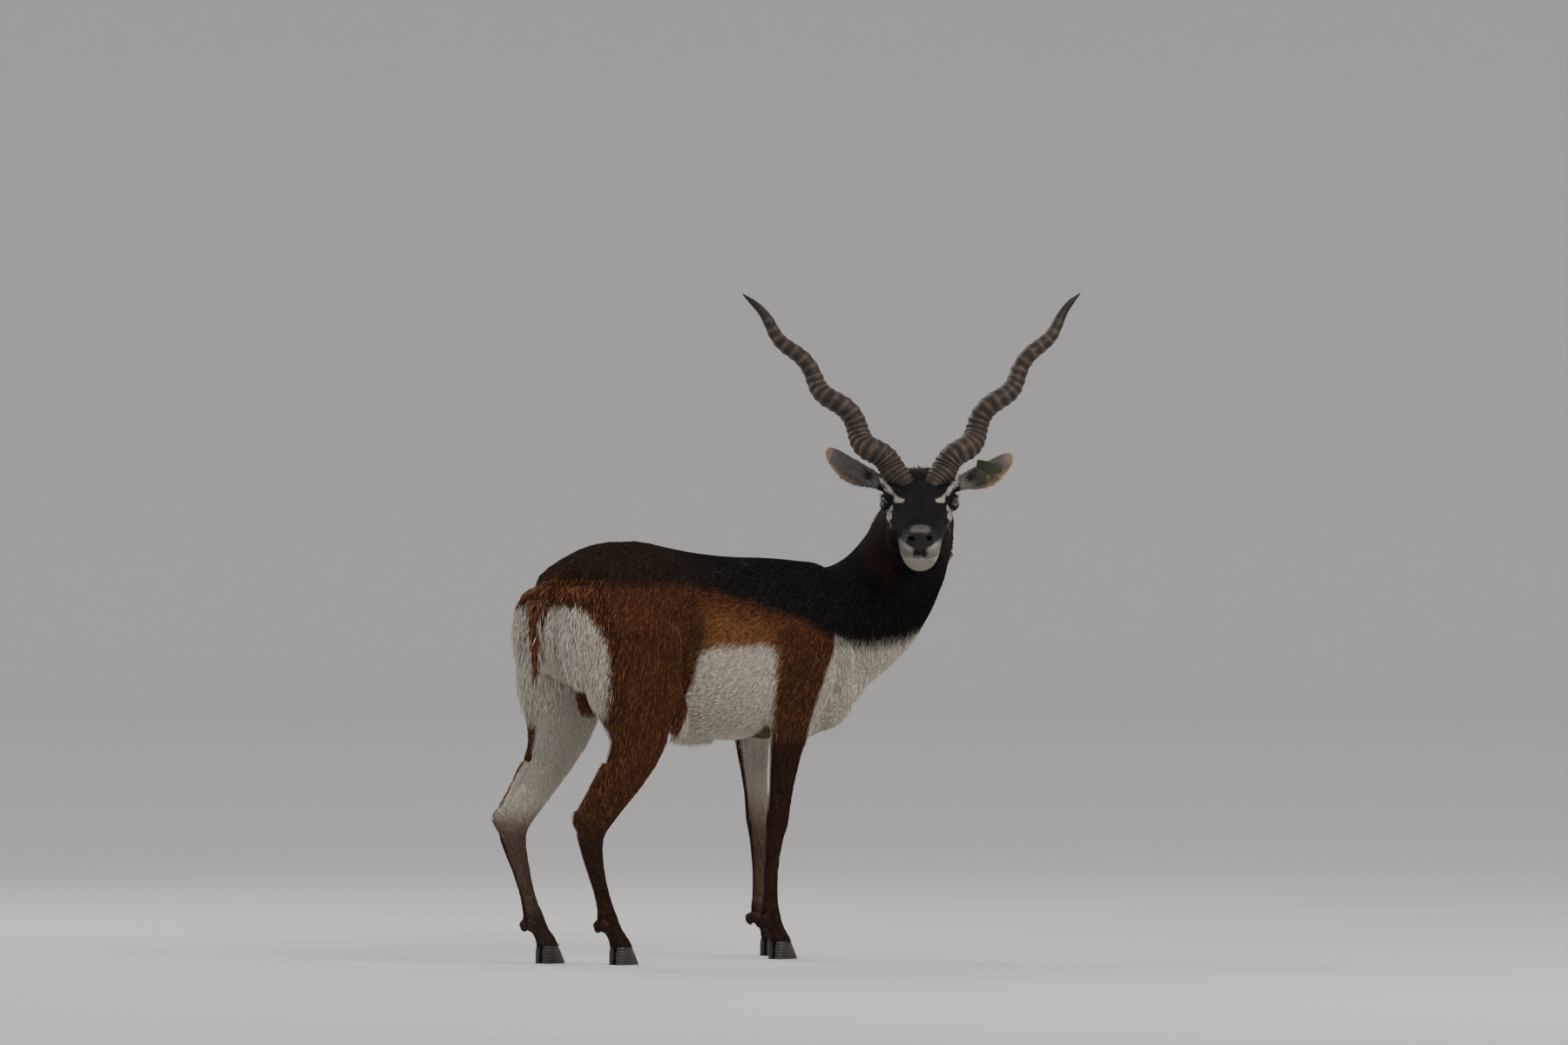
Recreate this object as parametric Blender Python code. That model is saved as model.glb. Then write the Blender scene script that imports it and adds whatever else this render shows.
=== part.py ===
"""A life-size standing blackbuck buck that looks back over its right shoulder, with a tag in its left ear.

Metres, +Z up. The body faces +X, its left side is +Y, and the hooves stand on Z = 0. Body sizes are written
from a point on the floor under the root of the tail, and everything is moved at the end so that the centre
of the animal's box stands on the origin. The flesh is lofted and fused into one skin, then parted with thin
cuts into head, neck, torso and legs. Horns, ears, eyes, claws, tail and tag are pieces of their own.
"""

import math
import random

import bmesh
import bpy
import numpy as np
from mathutils import Matrix, Vector
from mathutils.bvhtree import BVHTree

GAP = 0.0003                # clear space between neighbouring pieces
CUT = 0.0003                # thickness of the cuts that part the skin
TAIL_ROOT_TO_ORIGIN = Vector((0.509, -0.0175, 0.0))

SKIN_VOXEL = 0.0028
SKIN_TRIANGLES = 6200
SKIN_SMOOTHING = 12

WITHERS_HEIGHT = 0.742
CROUP_HEIGHT = 0.775
HALF_CHEST = 0.118          # half the width of the rib cage
SOLE_TO_CORONET = 0.033

HEAD_YAW = math.radians(-132)   # the head is turned back over the right shoulder
HEAD_PITCH = math.radians(12)   # nose below the horizontal
EYE_LEVEL = Vector((0.773, -0.1245, 0.828))   # middle of the head between the eyes
EYE_CENTRE = Vector((0.002, 0.0535, 0.0))     # in the head's own axes: forward, left, up
EYE_RADIUS = 0.0165
EYE_GAZE = Vector((0.44, 0.88, 0.12))
LID = 0.0024

# In level axes turned with the head: forward, left, up
HORN_BASES = {"left": Vector((-0.014, 0.0440, 0.054)), "right": Vector((-0.014, -0.0470, 0.054))}
HORN_TIPS = {"left": Vector((-0.150, 0.2960, 0.382)), "right": Vector((-0.150, -0.3200, 0.382))}
HORN_TURN = 0.1295                            # length along the horn of one turn of its spiral
HORN_FIRST_BULGE = 0.073                      # where along the horn the spiral first stands outwards
HORN_SMOOTH_TIP = 0.060
HORN_SUNK = 0.012                             # how deep the horn sits in the head
HORN_RINGS = 25
HORN_SIDES = 9
# Share of the horn's length from its root, and its radius there
HORN_RADII = [(0, 0.0235), (0.12, 0.0222), (0.25, 0.0198), (0.4, 0.0186), (0.55, 0.0158), (0.7, 0.0138),
              (0.85, 0.0104), (0.95, 0.0056), (1, 0.0014)]

EAR_ROOT = Vector((-0.056, 0.050, 0.022))
EAR_TIPS = {"left": Vector((-0.072, 0.1706, 0.082)), "right": Vector((-0.072, -0.1690, 0.093))}

# Where the pin goes through the tag and the ear, in the tag's axes
TAG_PIN = Vector((0.0, -0.0125, 0.0))
TAG_PIN_RADIUS = 0.0022
TAG_CAP_RADIUS = 0.0048
TAG_BUTTON_RADIUS = 0.0065
TAG_THICKNESS = 0.0016
TAG_PLACE = Vector((-0.0520, 0.1275, 0.0570))  # in the same level axes
TAG_TILT = math.radians(-10)

TAIL_RING = 10                                 # points round the tail's core
TAIL_RINGS_IN_POCKET = 12
TAIL_LOCK_LENGTHS = (0.044, 0.056)
TAIL_END = Vector((-0.0478, -0.0115, 0.510))   # where the last locks are rooted
TAIL_END_LENGTHS = (0.028, 0.036)

LEFT, RIGHT = 1, -1
SIDES = {"left": LEFT, "right": RIGHT}

# How far forward each leg stands from its plain place: at the stifle, hock, cannon and foot of a hind leg,
# and at the elbow, knee and foot of a foreleg
SWING_HIND = {"left": (-0.036, -0.052, -0.043, -0.048), "right": (0.0, 0.0, 0.002, 0.005)}
SWING_FORE = {"left": (0.034, 0.045, 0.046), "right": (-0.016, -0.036, -0.041)}
HOOF_X_HIND, HOOF_Y_HIND = 0.0935, 0.070
HOOF_X_FORE, HOOF_Y_FORE = 0.5305, 0.060


def catmull_rom(values, steps):
    """The rows of values with steps - 1 smooth rows put between each pair."""
    values = np.array(values, float)
    padded = np.vstack([2 * values[0] - values[1], values, 2 * values[-1] - values[-2]])
    rows = []
    for i in range(len(values) - 1):
        a, b, c, d = padded[i:i + 4]
        for t in np.arange(steps) / steps:
            rows.append(0.5 * (2 * b + (c - a) * t + (2 * a - 5 * b + 4 * c - d) * t * t
                               + (3 * b - a - 3 * c + d) * t ** 3))
    rows.append(values[-1])
    return np.array(rows)


def closed_rings(rings):
    """(points, faces) of a closed skin through rings of equal length, with both ends capped."""
    count = len(rings[0])
    points = [p for ring in rings for p in ring]
    faces = [tuple(range(count - 1, -1, -1))]
    for i in range(len(rings) - 1):
        a, b = i * count, (i + 1) * count
        for j in range(count):
            k = (j + 1) % count
            faces += [(a + j, a + k, b + k), (a + j, b + k, b + j)]
    last = (len(rings) - 1) * count
    faces.append(tuple(range(last, last + count)))
    return points, faces


def loft(stations, ring=28, steps=5, power=2.0):
    """A bent form through stations: x, y, z, half width, half depth before and behind, yaw in degrees.

    Before is the side that the path's direction crossed with the body's left points to: up on a body that
    runs forward, and forward on a leg that runs down. Yaw turns the section's left about the vertical."""
    rows = catmull_rom(stations, steps)
    centres = rows[:, :3]
    tangents = np.gradient(centres, axis=0)
    rings = []
    for row, tangent in zip(rows, tangents):
        along = Vector(tangent).normalized()
        yaw = math.radians(row[6])
        left = Vector((-math.sin(yaw), math.cos(yaw), 0.0))
        left = (left - along * left.dot(along)).normalized()
        before = along.cross(left)
        points = []
        for k in range(ring):
            angle = 2 * math.pi * k / ring
            c, s = math.cos(angle), math.sin(angle)
            across = row[3] * math.copysign(abs(c) ** (2 / power), c)
            deep = (row[4] if s > 0 else row[5]) * math.copysign(abs(s) ** (2 / power), s)
            points.append(Vector(row[:3]) + left * across + before * deep)
        rings.append(points)
    return closed_rings(rings)


def mass(centre, radii, tilt=0.0, turn=0.0):
    """An ellipsoid, such as a muscle, tilted about Y and then turned about Z, in degrees."""
    spin = Matrix.Rotation(math.radians(turn), 3, "Z") @ Matrix.Rotation(math.radians(tilt), 3, "Y")
    rings = []
    for i in range(1, 12):
        polar = math.pi * i / 12
        ring = []
        for k in range(18):
            angle = 2 * math.pi * k / 18
            wide = math.sin(polar)
            ball = Vector((wide * math.cos(angle), wide * math.sin(angle), -math.cos(polar)))
            ring.append(Vector(centre) + spin @ Vector([b * r for b, r in zip(ball, radii)]))
        rings.append(ring)
    return closed_rings(rings)


def mirrored(shape):
    """The same shape on the other side of the body."""
    points, faces = shape
    return [Vector((p[0], -p[1], p[2])) for p in points], [tuple(reversed(f)) for f in faces]


def both(shape):
    return [shape, mirrored(shape)]


def moved(shape, matrix):
    points, faces = shape
    return [matrix @ Vector(p) for p in points], faces


def head_matrix():
    """From the head's own axes (forward along the mouth, left, up) to the body's."""
    turn = Matrix.Rotation(HEAD_YAW, 4, "Z") @ Matrix.Rotation(HEAD_PITCH, 4, "Y")
    return Matrix.Translation(EYE_LEVEL) @ turn


def level_matrix():
    """The head's axes turned with it but kept level, for what is sized as seen from straight in front."""
    return Matrix.Rotation(HEAD_YAW, 3, "Z")


def trunk_form():
    """Pelvis, loin, rib cage and chest."""
    # x, top, bottom, half width, height of the widest part
    sections = [
        (-0.034, 0.644, 0.560, 0.026, 0.605),
        (-0.018, 0.665, 0.530, 0.046, 0.605),
        (0.015, 0.697, 0.505, 0.066, 0.610),
        (0.060, 0.731, 0.490, 0.086, 0.620),
        (0.115, 0.762, 0.472, 0.097, 0.630),
        (0.176, CROUP_HEIGHT, 0.448, 0.100, 0.620),
        (0.240, 0.761, 0.430, 0.101, 0.590),
        (0.310, 0.742, 0.409, 0.110, 0.575),
        (0.380, WITHERS_HEIGHT - 0.002, 0.400, HALF_CHEST, 0.570),
        (0.450, WITHERS_HEIGHT + 0.004, 0.397, HALF_CHEST, 0.570),
        (0.520, WITHERS_HEIGHT + 0.003, 0.400, 0.108, 0.560),
        (0.590, WITHERS_HEIGHT - 0.003, 0.410, 0.092, 0.560),
        (0.650, WITHERS_HEIGHT - 0.007, 0.440, 0.078, 0.570),
        (0.700, WITHERS_HEIGHT - 0.016, 0.480, 0.062, 0.590),
    ]
    stations = [(x, 0, wide, half, top - wide, wide - bottom, 0) for x, top, bottom, half, wide in sections]
    return loft(stations, ring=36, power=2.15)


def neck_form():
    """A thick neck that rises forward and turns to the right as it reaches the head."""
    stations = [
        (0.560, 0.000, 0.590, 0.086, 0.108, 0.150, 0),
        (0.660, 0.000, 0.612, 0.092, 0.096, 0.146, 0),
        (0.755, -0.004, 0.652, 0.091, 0.086, 0.123, -8),
        (0.814, -0.014, 0.715, 0.083, 0.076, 0.100, -20),
        (0.838, -0.034, 0.785, 0.073, 0.067, 0.080, -45),
        (0.834, -0.058, 0.836, 0.054, 0.050, 0.064, -85),
        (0.830, -0.074, 0.872, 0.044, 0.036, 0.050, -125),
    ]
    return loft(stations, ring=32)


def shoulder_forms():
    return (
        both(mass((0.560, 0.066, 0.620), (0.078, 0.036, 0.120), tilt=22))
        + both(mass((0.530, 0.076, 0.520), (0.076, 0.034, 0.066), tilt=-20))
        + both(mass((0.612, 0.066, 0.540), (0.044, 0.038, 0.058)))
        + both(mass((0.628, 0.038, 0.480), (0.056, 0.040, 0.070), tilt=30))
        + [mass((0.575, 0.0, 0.440), (0.100, 0.062, 0.044), tilt=-8)]
    )


def haunch_forms():
    return (
        both(mass((0.114, 0.046, 0.700), (0.118, 0.047, 0.062), tilt=-22))
        + both(mass((0.005, 0.062, 0.578), (0.036, 0.036, 0.082), tilt=-6))
        + both(mass((0.012, 0.050, 0.632), (0.040, 0.036, 0.046)))
        + both(mass((0.196, 0.078, 0.722), (0.036, 0.020, 0.022)))
        + both(mass((0.205, 0.082, 0.480), (0.032, 0.020, 0.085), tilt=-22))
    )


def belly_forms():
    return [
        mass((0.335, 0.0, 0.403), (0.060, 0.018, 0.012)),
        mass((0.085, 0.0, 0.480), (0.026, 0.024, 0.040)),
    ]


def swung(x, z, heights, swings):
    """A place on a leg carried forward by the swing at its height."""
    return x + float(np.interp(z, heights, swings[::-1] + (0.0,)))


def hind_leg_form(name):
    """One hind leg from the hip to the coronet."""
    side = SIDES[name]

    def at(x, z):
        return swung(x, z, (0.110, 0.185, 0.262, 0.400, 0.640), SWING_HIND[name])

    # x, y, z, half width, half depth before, half depth behind
    sections = [
        (0.105, 0.045, 0.725, 0.020, 0.050, 0.040),
        (0.105, 0.056, 0.665, 0.044, 0.100, 0.085),
        (0.108, 0.070, 0.590, 0.054, 0.130, 0.110),
        (0.114, 0.078, 0.520, 0.053, 0.116, 0.108),
        (0.120, 0.086, 0.455, 0.047, 0.088, 0.086),
        (0.118, 0.089, 0.400, 0.040, 0.062, 0.062),
        (0.096, 0.088, 0.350, 0.033, 0.046, 0.046),
        (0.064, 0.084, 0.305, 0.025, 0.037, 0.037),
        (0.034, 0.080, 0.268, 0.0215, 0.034, 0.036),
        (0.021, 0.078, 0.240, 0.0205, 0.030, 0.032),
        (0.022, 0.077, 0.208, 0.0170, 0.023, 0.024),
        (0.032, 0.075, 0.170, 0.0135, 0.018, 0.019),
        (0.044, 0.073, 0.135, 0.0128, 0.0148, 0.0158),
        (0.054, 0.071, 0.106, 0.0145, 0.0155, 0.0170),
        (0.062, 0.070, 0.084, 0.0172, 0.0180, 0.0210),
        (0.078, 0.070, 0.058, 0.0162, 0.0155, 0.0160),
        (0.092, HOOF_Y_HIND, 0.036, 0.0185, 0.0190, 0.0185),
        (0.098, HOOF_Y_HIND, 0.020, 0.0180, 0.0190, 0.0185),
    ]
    stations = [(at(x, z), side * y, z, half, before, behind, 0)
                for x, y, z, half, before, behind in sections]
    heel = mass((at(-0.004, 0.258), side * 0.078, 0.258), (0.018, 0.0125, 0.024), tilt=-28)
    tendon = loft([
        (at(0.052, 0.360), side * 0.086, 0.360, 0.010, 0.012, 0.012, 0),
        (at(0.018, 0.308), side * 0.081, 0.308, 0.0080, 0.010, 0.010, 0),
        (at(-0.008, 0.266), side * 0.078, 0.266, 0.0095, 0.010, 0.010, 0),
    ], ring=14)
    return [loft(stations, ring=24), heel, tendon] + dewclaws(at(0.060, 0.1), side * 0.070)


def fore_leg_form(name):
    """One foreleg from the shoulder to the coronet."""
    side = SIDES[name]

    def at(x, z):
        return swung(x, z, (0.180, 0.250, 0.430, 0.600), SWING_FORE[name])

    sections = [
        (0.560, 0.050, 0.670, 0.018, 0.026, 0.026),
        (0.560, 0.060, 0.610, 0.040, 0.056, 0.058),
        (0.550, 0.070, 0.530, 0.043, 0.070, 0.070),
        (0.528, 0.078, 0.462, 0.039, 0.050, 0.058),
        (0.515, 0.079, 0.405, 0.032, 0.034, 0.044),
        (0.511, 0.076, 0.345, 0.025, 0.025, 0.032),
        (0.508, 0.073, 0.292, 0.0215, 0.0230, 0.0235),
        (0.507, 0.070, 0.252, 0.0220, 0.0240, 0.0230),
        (0.506, 0.067, 0.215, 0.0170, 0.0180, 0.0185),
        (0.505, 0.064, 0.160, 0.0130, 0.0140, 0.0155),
        (0.505, 0.062, 0.112, 0.0140, 0.0150, 0.0170),
        (0.506, 0.061, 0.086, 0.0170, 0.0180, 0.0205),
        (0.519, 0.060, 0.058, 0.0160, 0.0155, 0.0160),
        (0.529, HOOF_Y_FORE, 0.036, 0.0185, 0.0190, 0.0185),
        (0.535, HOOF_Y_FORE, 0.020, 0.0180, 0.0190, 0.0185),
    ]
    stations = [(at(x, z), side * y, z, half, before, behind, 0)
                for x, y, z, half, before, behind in sections]
    elbow = mass((at(0.478, 0.5), side * 0.078, 0.452), (0.026, 0.020, 0.036), tilt=18)
    return [loft(stations, ring=24), elbow] + dewclaws(at(0.500, 0.1), side * 0.061)


def dewclaws(x, y):
    """The two small claws behind a fetlock."""
    return [mass((x - 0.0135, y + side * 0.0090, 0.069), (0.0105, 0.0085, 0.0125), tilt=-20)
            for side in (LEFT, RIGHT)]


def skull_forms():
    """The head without its openings, in the head's own axes."""
    # x, top, bottom, half width, height of the widest part
    sections = [
        (-0.108, -0.002, -0.050, 0.028, -0.022),
        (-0.092, 0.022, -0.076, 0.045, -0.018),
        (-0.060, 0.034, -0.098, 0.055, -0.014),
        (-0.025, 0.044, -0.106, 0.058, -0.010),
        (0.010, 0.040, -0.108, 0.056, -0.014),
        (0.040, 0.030, -0.109, 0.049, -0.030),
        (0.070, 0.012, -0.110, 0.0425, -0.046),
        (0.098, -0.003, -0.110, 0.0385, -0.056),
        (0.120, -0.015, -0.104, 0.0350, -0.058),
        (0.136, -0.026, -0.090, 0.0285, -0.056),
        (0.145, -0.038, -0.072, 0.0180, -0.055),
    ]
    stations = [(x, 0, wide, half, top - wide, wide - bottom, 0) for x, top, bottom, half, wide in sections]
    forms = [loft(stations, ring=32, steps=6, power=2.1)]
    forms += both(mass((0.004, 0.046, 0.024), (0.030, 0.013, 0.010), turn=-16))       # brow
    forms += both(mass((0.020, 0.046, -0.030), (0.046, 0.012, 0.010), turn=-12))      # cheek bone
    forms += both(mass((-0.034, 0.040, -0.060), (0.042, 0.018, 0.040)))               # jaw muscle
    forms += both(mass((0.112, 0.018, -0.052), (0.026, 0.0215, 0.016)))               # upper lip
    forms += [mass((0.132, 0.0, -0.036), (0.018, 0.0255, 0.0165))]                    # nose pad
    forms += [mass((0.110, 0.0, -0.086), (0.026, 0.0260, 0.020))]                     # chin
    forms += [mass((-0.030, 0.0, 0.044), (0.028, 0.028, 0.010))]                      # tuft between the horns
    lids = Vector([abs(v) for v in EYE_CENTRE])
    forms += both(mass(lids, (EYE_RADIUS + LID,) * 3))
    for side in (LEFT, RIGHT):
        forms.append(mass((-0.030, side * 0.040, 0.030), (0.0290, 0.0260, 0.022)))
    forms += both(mass(EAR_ROOT, (0.022, 0.020, 0.020)))
    return [moved(form, head_matrix()) for form in forms]


def smooth_points(points, edges, rounds, share=1.0, shrink=0.5, grow=-0.53):
    """Evens out the points of a mesh along its edges, with each shrinking pass undone by a growing one."""
    a, b = edges[:, 0], edges[:, 1]
    degree = np.bincount(np.concatenate([a, b]), minlength=len(points)).astype(float)[:, None]
    for _ in range(rounds):
        for step in (shrink, grow):
            total = np.zeros_like(points)
            for axis in range(3):
                total[:, axis] = (np.bincount(a, weights=points[b, axis], minlength=len(points))
                                  + np.bincount(b, weights=points[a, axis], minlength=len(points)))
            points = points + step * share * (total / degree - points)
    return points


def trunk_share(points):
    """How far each point belongs to the broad trunk, neck and thighs: 0 on the head and the lower legs."""
    above_knees = np.clip((points[:, 2] - 0.36) / 0.10, 0, 1)
    from_head = np.linalg.norm(points - np.array(EYE_LEVEL + Vector((-0.03, -0.04, -0.02))), axis=1)
    return (above_knees * np.clip((from_head - 0.14) / 0.08, 0, 1))[:, None]


def mesh_object(name, points, faces):
    mesh = bpy.data.meshes.new(name)
    mesh.from_pydata([tuple(p) for p in points], [], faces)
    mesh.update()
    obj = bpy.data.objects.new(name, mesh)
    bpy.context.scene.collection.objects.link(obj)
    return obj


def evaluated(obj):
    """A plain mesh of the object with its modifiers applied."""
    bpy.context.view_layer.update()
    return bpy.data.meshes.new_from_object(obj.evaluated_get(bpy.context.evaluated_depsgraph_get()))


def apply_modifiers(obj):
    baked = evaluated(obj)
    obj.modifiers.clear()
    obj.data = baked


def fused_skin(forms, voxel, rounds):
    """One smooth closed mesh over all the forms."""
    points, faces = [], []
    for form_points, form_faces in forms:
        start = len(points)
        points += form_points
        faces += [tuple(start + i for i in face) for face in form_faces]
    skin = mesh_object("skin", points, faces)
    remesh = skin.modifiers.new("fuse", "REMESH")
    remesh.mode = "VOXEL"
    remesh.voxel_size = voxel
    apply_modifiers(skin)
    mesh = skin.data
    co = np.empty(len(mesh.vertices) * 3)
    mesh.vertices.foreach_get("co", co)
    edges = np.empty(len(mesh.edges) * 2, np.int64)
    mesh.edges.foreach_get("vertices", edges)
    co, edges = co.reshape(-1, 3), edges.reshape(-1, 2)
    co = smooth_points(co, edges, rounds)
    co = smooth_points(co, edges, rounds * 8, trunk_share(co), grow=-0.505)
    mesh.vertices.foreach_set("co", co.ravel())
    mesh.update()
    return skin


def coarser(skin, triangles):
    """Fewer triangles, kept finest on the head and the feet."""
    mesh = skin.data
    co = np.empty(len(mesh.vertices) * 3)
    mesh.vertices.foreach_get("co", co)
    co = co.reshape(-1, 3)
    from_head = np.linalg.norm(co - np.array(EYE_LEVEL + Vector((-0.03, -0.03, -0.02))), axis=1)
    fine = 0.30 * np.clip((0.15 - from_head) / 0.05, 0, 1)
    fine = np.maximum(fine, 0.15 * np.clip((0.32 - co[:, 2]) / 0.1, 0, 1))
    group = skin.vertex_groups.new(name="fine")
    for level in range(1, 11):
        chosen = np.nonzero(np.round(fine * 10).astype(int) == level)[0]
        if len(chosen):
            group.add(chosen.tolist(), level * 0.088, "REPLACE")
    decimate = skin.modifiers.new("coarser", "DECIMATE")
    decimate.ratio = triangles / (2 * len(mesh.polygons))
    decimate.vertex_group = group.name
    decimate.invert_vertex_group = True
    decimate.vertex_group_factor = 0.12
    decimate.use_collapse_triangulate = True
    apply_modifiers(skin)
    skin.vertex_groups.clear()
    return skin


def slab(centre, normal, half_across, half_along, thickness=CUT, across=Vector((0, 1, 0))):
    """A thin plate that cuts the skin, square to normal. Half along runs square to across."""
    normal = normal.normalized()
    across = (across - normal * across.dot(normal)).normalized()
    along = normal.cross(across)
    corners = []
    for n in (-0.5, 0.5):
        for a, b in ((-1, -1), (1, -1), (1, 1), (-1, 1)):
            corner = centre + across * a * half_across + along * b * half_along
            corners.append(corner + normal * n * thickness)
    return corners, [(3, 2, 1, 0), (4, 5, 6, 7), (0, 1, 5, 4), (1, 2, 6, 5), (2, 3, 7, 6), (3, 0, 4, 7)]


def boolean(obj, others, operation):
    """Applies a Boolean with a collection of closed meshes, which are then removed."""
    group = bpy.data.collections.new("cutters")
    bpy.context.scene.collection.children.link(group)
    for other in others:
        bpy.context.scene.collection.objects.unlink(other)
        group.objects.link(other)
    modifier = obj.modifiers.new("boolean", "BOOLEAN")
    modifier.operand_type = "COLLECTION"
    modifier.collection = group
    modifier.operation = operation
    modifier.solver = "EXACT"
    apply_modifiers(obj)
    for other in others:
        bpy.data.objects.remove(other)
    bpy.data.collections.remove(group)
    return obj


def loose_pieces(obj):
    """Splits a mesh into one list of face indices for each separate surface."""
    bm = bmesh.new()
    bm.from_mesh(obj.data)
    bm.faces.ensure_lookup_table()
    seen, pieces = set(), []
    for face in bm.faces:
        if face.index in seen:
            continue
        seen.add(face.index)
        piece, front = [], [face]
        while front:
            current = front.pop()
            piece.append(current.index)
            for edge in current.edges:
                for other in edge.link_faces:
                    if other.index not in seen:
                        seen.add(other.index)
                        front.append(other)
        pieces.append(piece)
    bm.free()
    return pieces


def part_skin(skin, cuts, markers):
    """Cuts the skin and makes an object of each piece, named by the marker point that lies nearest to it."""
    boolean(skin, [mesh_object("cut", *cut) for cut in cuts], "DIFFERENCE")
    mesh = skin.data
    pieces = []
    for faces in sorted(loose_pieces(skin), key=len, reverse=True)[:len(markers)]:
        used = sorted({v for f in faces for v in mesh.polygons[f].vertices})
        index = {v: i for i, v in enumerate(used)}
        points = [mesh.vertices[v].co.copy() for v in used]
        pieces.append((points, [tuple(index[v] for v in mesh.polygons[f].vertices) for f in faces]))
    made = {}
    for name, marker in markers.items():
        nearest = min(pieces, key=lambda piece: min((p - Vector(marker)).length for p in piece[0]))
        pieces.remove(nearest)
        made[name] = mesh_object(name, *nearest)
    bpy.data.objects.remove(skin)
    return made


def keep_largest(obj):
    """Drops loose scraps and sealed hollows."""
    largest = set(max(loose_pieces(obj), key=len))
    bm = bmesh.new()
    bm.from_mesh(obj.data)
    bm.faces.ensure_lookup_table()
    bmesh.ops.delete(bm, geom=[f for f in bm.faces if f.index not in largest], context="FACES")
    bmesh.ops.delete(bm, geom=[v for v in bm.verts if not v.link_faces], context="VERTS")
    bm.to_mesh(obj.data)
    bm.free()
    return obj


def joined(name, shapes):
    """One closed body out of overlapping closed shapes."""
    parts = [mesh_object(name + "_part", *shape) for shape in shapes]
    base = parts[0]
    base.name = name
    if len(parts) > 1:
        boolean(base, parts[1:], "UNION")
    return keep_largest(base)


def cut_out(obj, shapes):
    """Cuts pockets, slits and holes of the given closed shapes."""
    boolean(obj, [mesh_object("cutter", *shape) for shape in shapes], "DIFFERENCE")
    return keep_largest(obj)


def cuts_of_the_body():
    """The thin cuts at the throat, the breast, the four leg tops and the hocks and knees."""
    head_left = level_matrix() @ Vector((0, 1, 0))
    head_front = level_matrix() @ Vector((1, 0, 0))
    throat = slab(Vector((0.829, -0.062, 0.735)), head_front * 0.55 + head_left * 0.42 + Vector((0, 0, 0.80)),
                  0.12, 0.15, across=head_left)
    breast = slab(Vector((0.724, 0.0, 0.615)), Vector((0.975, 0, 0.22)), 0.15, 0.19)
    cuts = [throat, breast]
    for name, side in SIDES.items():
        thigh = Vector((0.110, side * 0.096, 0.466))
        cuts.append(slab(thigh, Vector((0.30, -side * 0.20, 0.93)), 0.074, 0.165))
        hock = Vector((0.026 + SWING_HIND[name][2], side * 0.078, 0.226))
        cuts.append(slab(hock, Vector((0.0, 0, 1)), 0.040, 0.050))
        elbow = Vector((0.515 + SWING_FORE[name][0], side * 0.086, 0.388))
        cuts.append(slab(elbow, Vector((0, -side * 0.25, 0.97)), 0.055, 0.085))
        knee = Vector((0.507 + SWING_FORE[name][1], side * 0.070, 0.222))
        cuts.append(slab(knee, Vector((0, 0, 1)), 0.035, 0.045))
    return cuts


def markers_of_the_body():
    """A point on or in each piece of flesh, by which it gets its name."""
    markers = {"torso": (0.38, 0, 0.74), "neck": (0.76, 0, 0.77), "head": EYE_LEVEL}
    for name, side in SIDES.items():
        hind, fore = SWING_HIND[name][1], SWING_FORE[name][1]
        markers["hind_leg_upper_" + name] = (0.064 + hind, side * 0.084, 0.305)
        markers["hind_leg_lower_" + name] = (0.044 + hind, side * 0.073, 0.135)
        markers["fore_leg_upper_" + name] = (0.508 + fore, side * 0.073, 0.300)
        markers["fore_leg_lower_" + name] = (0.505 + fore, side * 0.062, 0.130)
    return markers


def body_forms():
    """Every closed form that the skin is fused from."""
    forms = [trunk_form(), neck_form()] + shoulder_forms() + haunch_forms() + belly_forms() + skull_forms()
    for name in SIDES:
        forms += hind_leg_form(name) + fore_leg_form(name)
    return forms


def soles_off(skin):
    """Ends the legs in a flat face at the coronets, where the claws begin."""
    floor = slab(Vector((0.3, 0, SOLE_TO_CORONET - 0.05)), Vector((0, 0, 1)), 0.3, 0.5, thickness=0.1)
    return boolean(skin, [mesh_object("floor", *floor)], "DIFFERENCE")


def horn_frame(name):
    """Root of one horn, its length, and its three axes: along it, outwards and backwards."""
    level = level_matrix()
    base = EYE_LEVEL + level @ HORN_BASES[name]
    reach = level @ (HORN_TIPS[name] - HORN_BASES[name])
    along = reach.normalized()
    outward = level @ Vector((0, SIDES[name], 0))
    outward = (outward - along * outward.dot(along)).normalized()
    back = level @ Vector((-1, 0, 0))
    back = (back - along * back.dot(along) - outward * back.dot(outward)).normalized()
    return base, reach.length, along, outward, back


def horn_radius(share):
    """Radius of the horn without its rings, at a share of its length from the root."""
    places, radii = zip(*HORN_RADII)
    return float(np.interp(share, places, radii))


def horn_ring_places(length):
    """Distances of the ring crests from the root: close at first, then wider apart, none near the tip."""
    last = length - HORN_SMOOTH_TIP
    shares = [(i + 0.6) / HORN_RINGS for i in range(HORN_RINGS)]
    return [last * share * (0.62 + 0.38 * share) for share in shares]


def horn_centre(frame, s):
    """Middle of the horn at the distance s: a corkscrew that tightens towards the tip."""
    base, length, along, outward, back = frame
    grow = min(1.0, max(0.0, s) / 0.05)
    turn = 2 * math.pi * (s - HORN_FIRST_BULGE) / HORN_TURN
    wide = (0.0104 - 0.0070 * s / length) * grow
    return base + along * s + (outward * math.cos(turn) + back * math.sin(turn)) * wide


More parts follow.
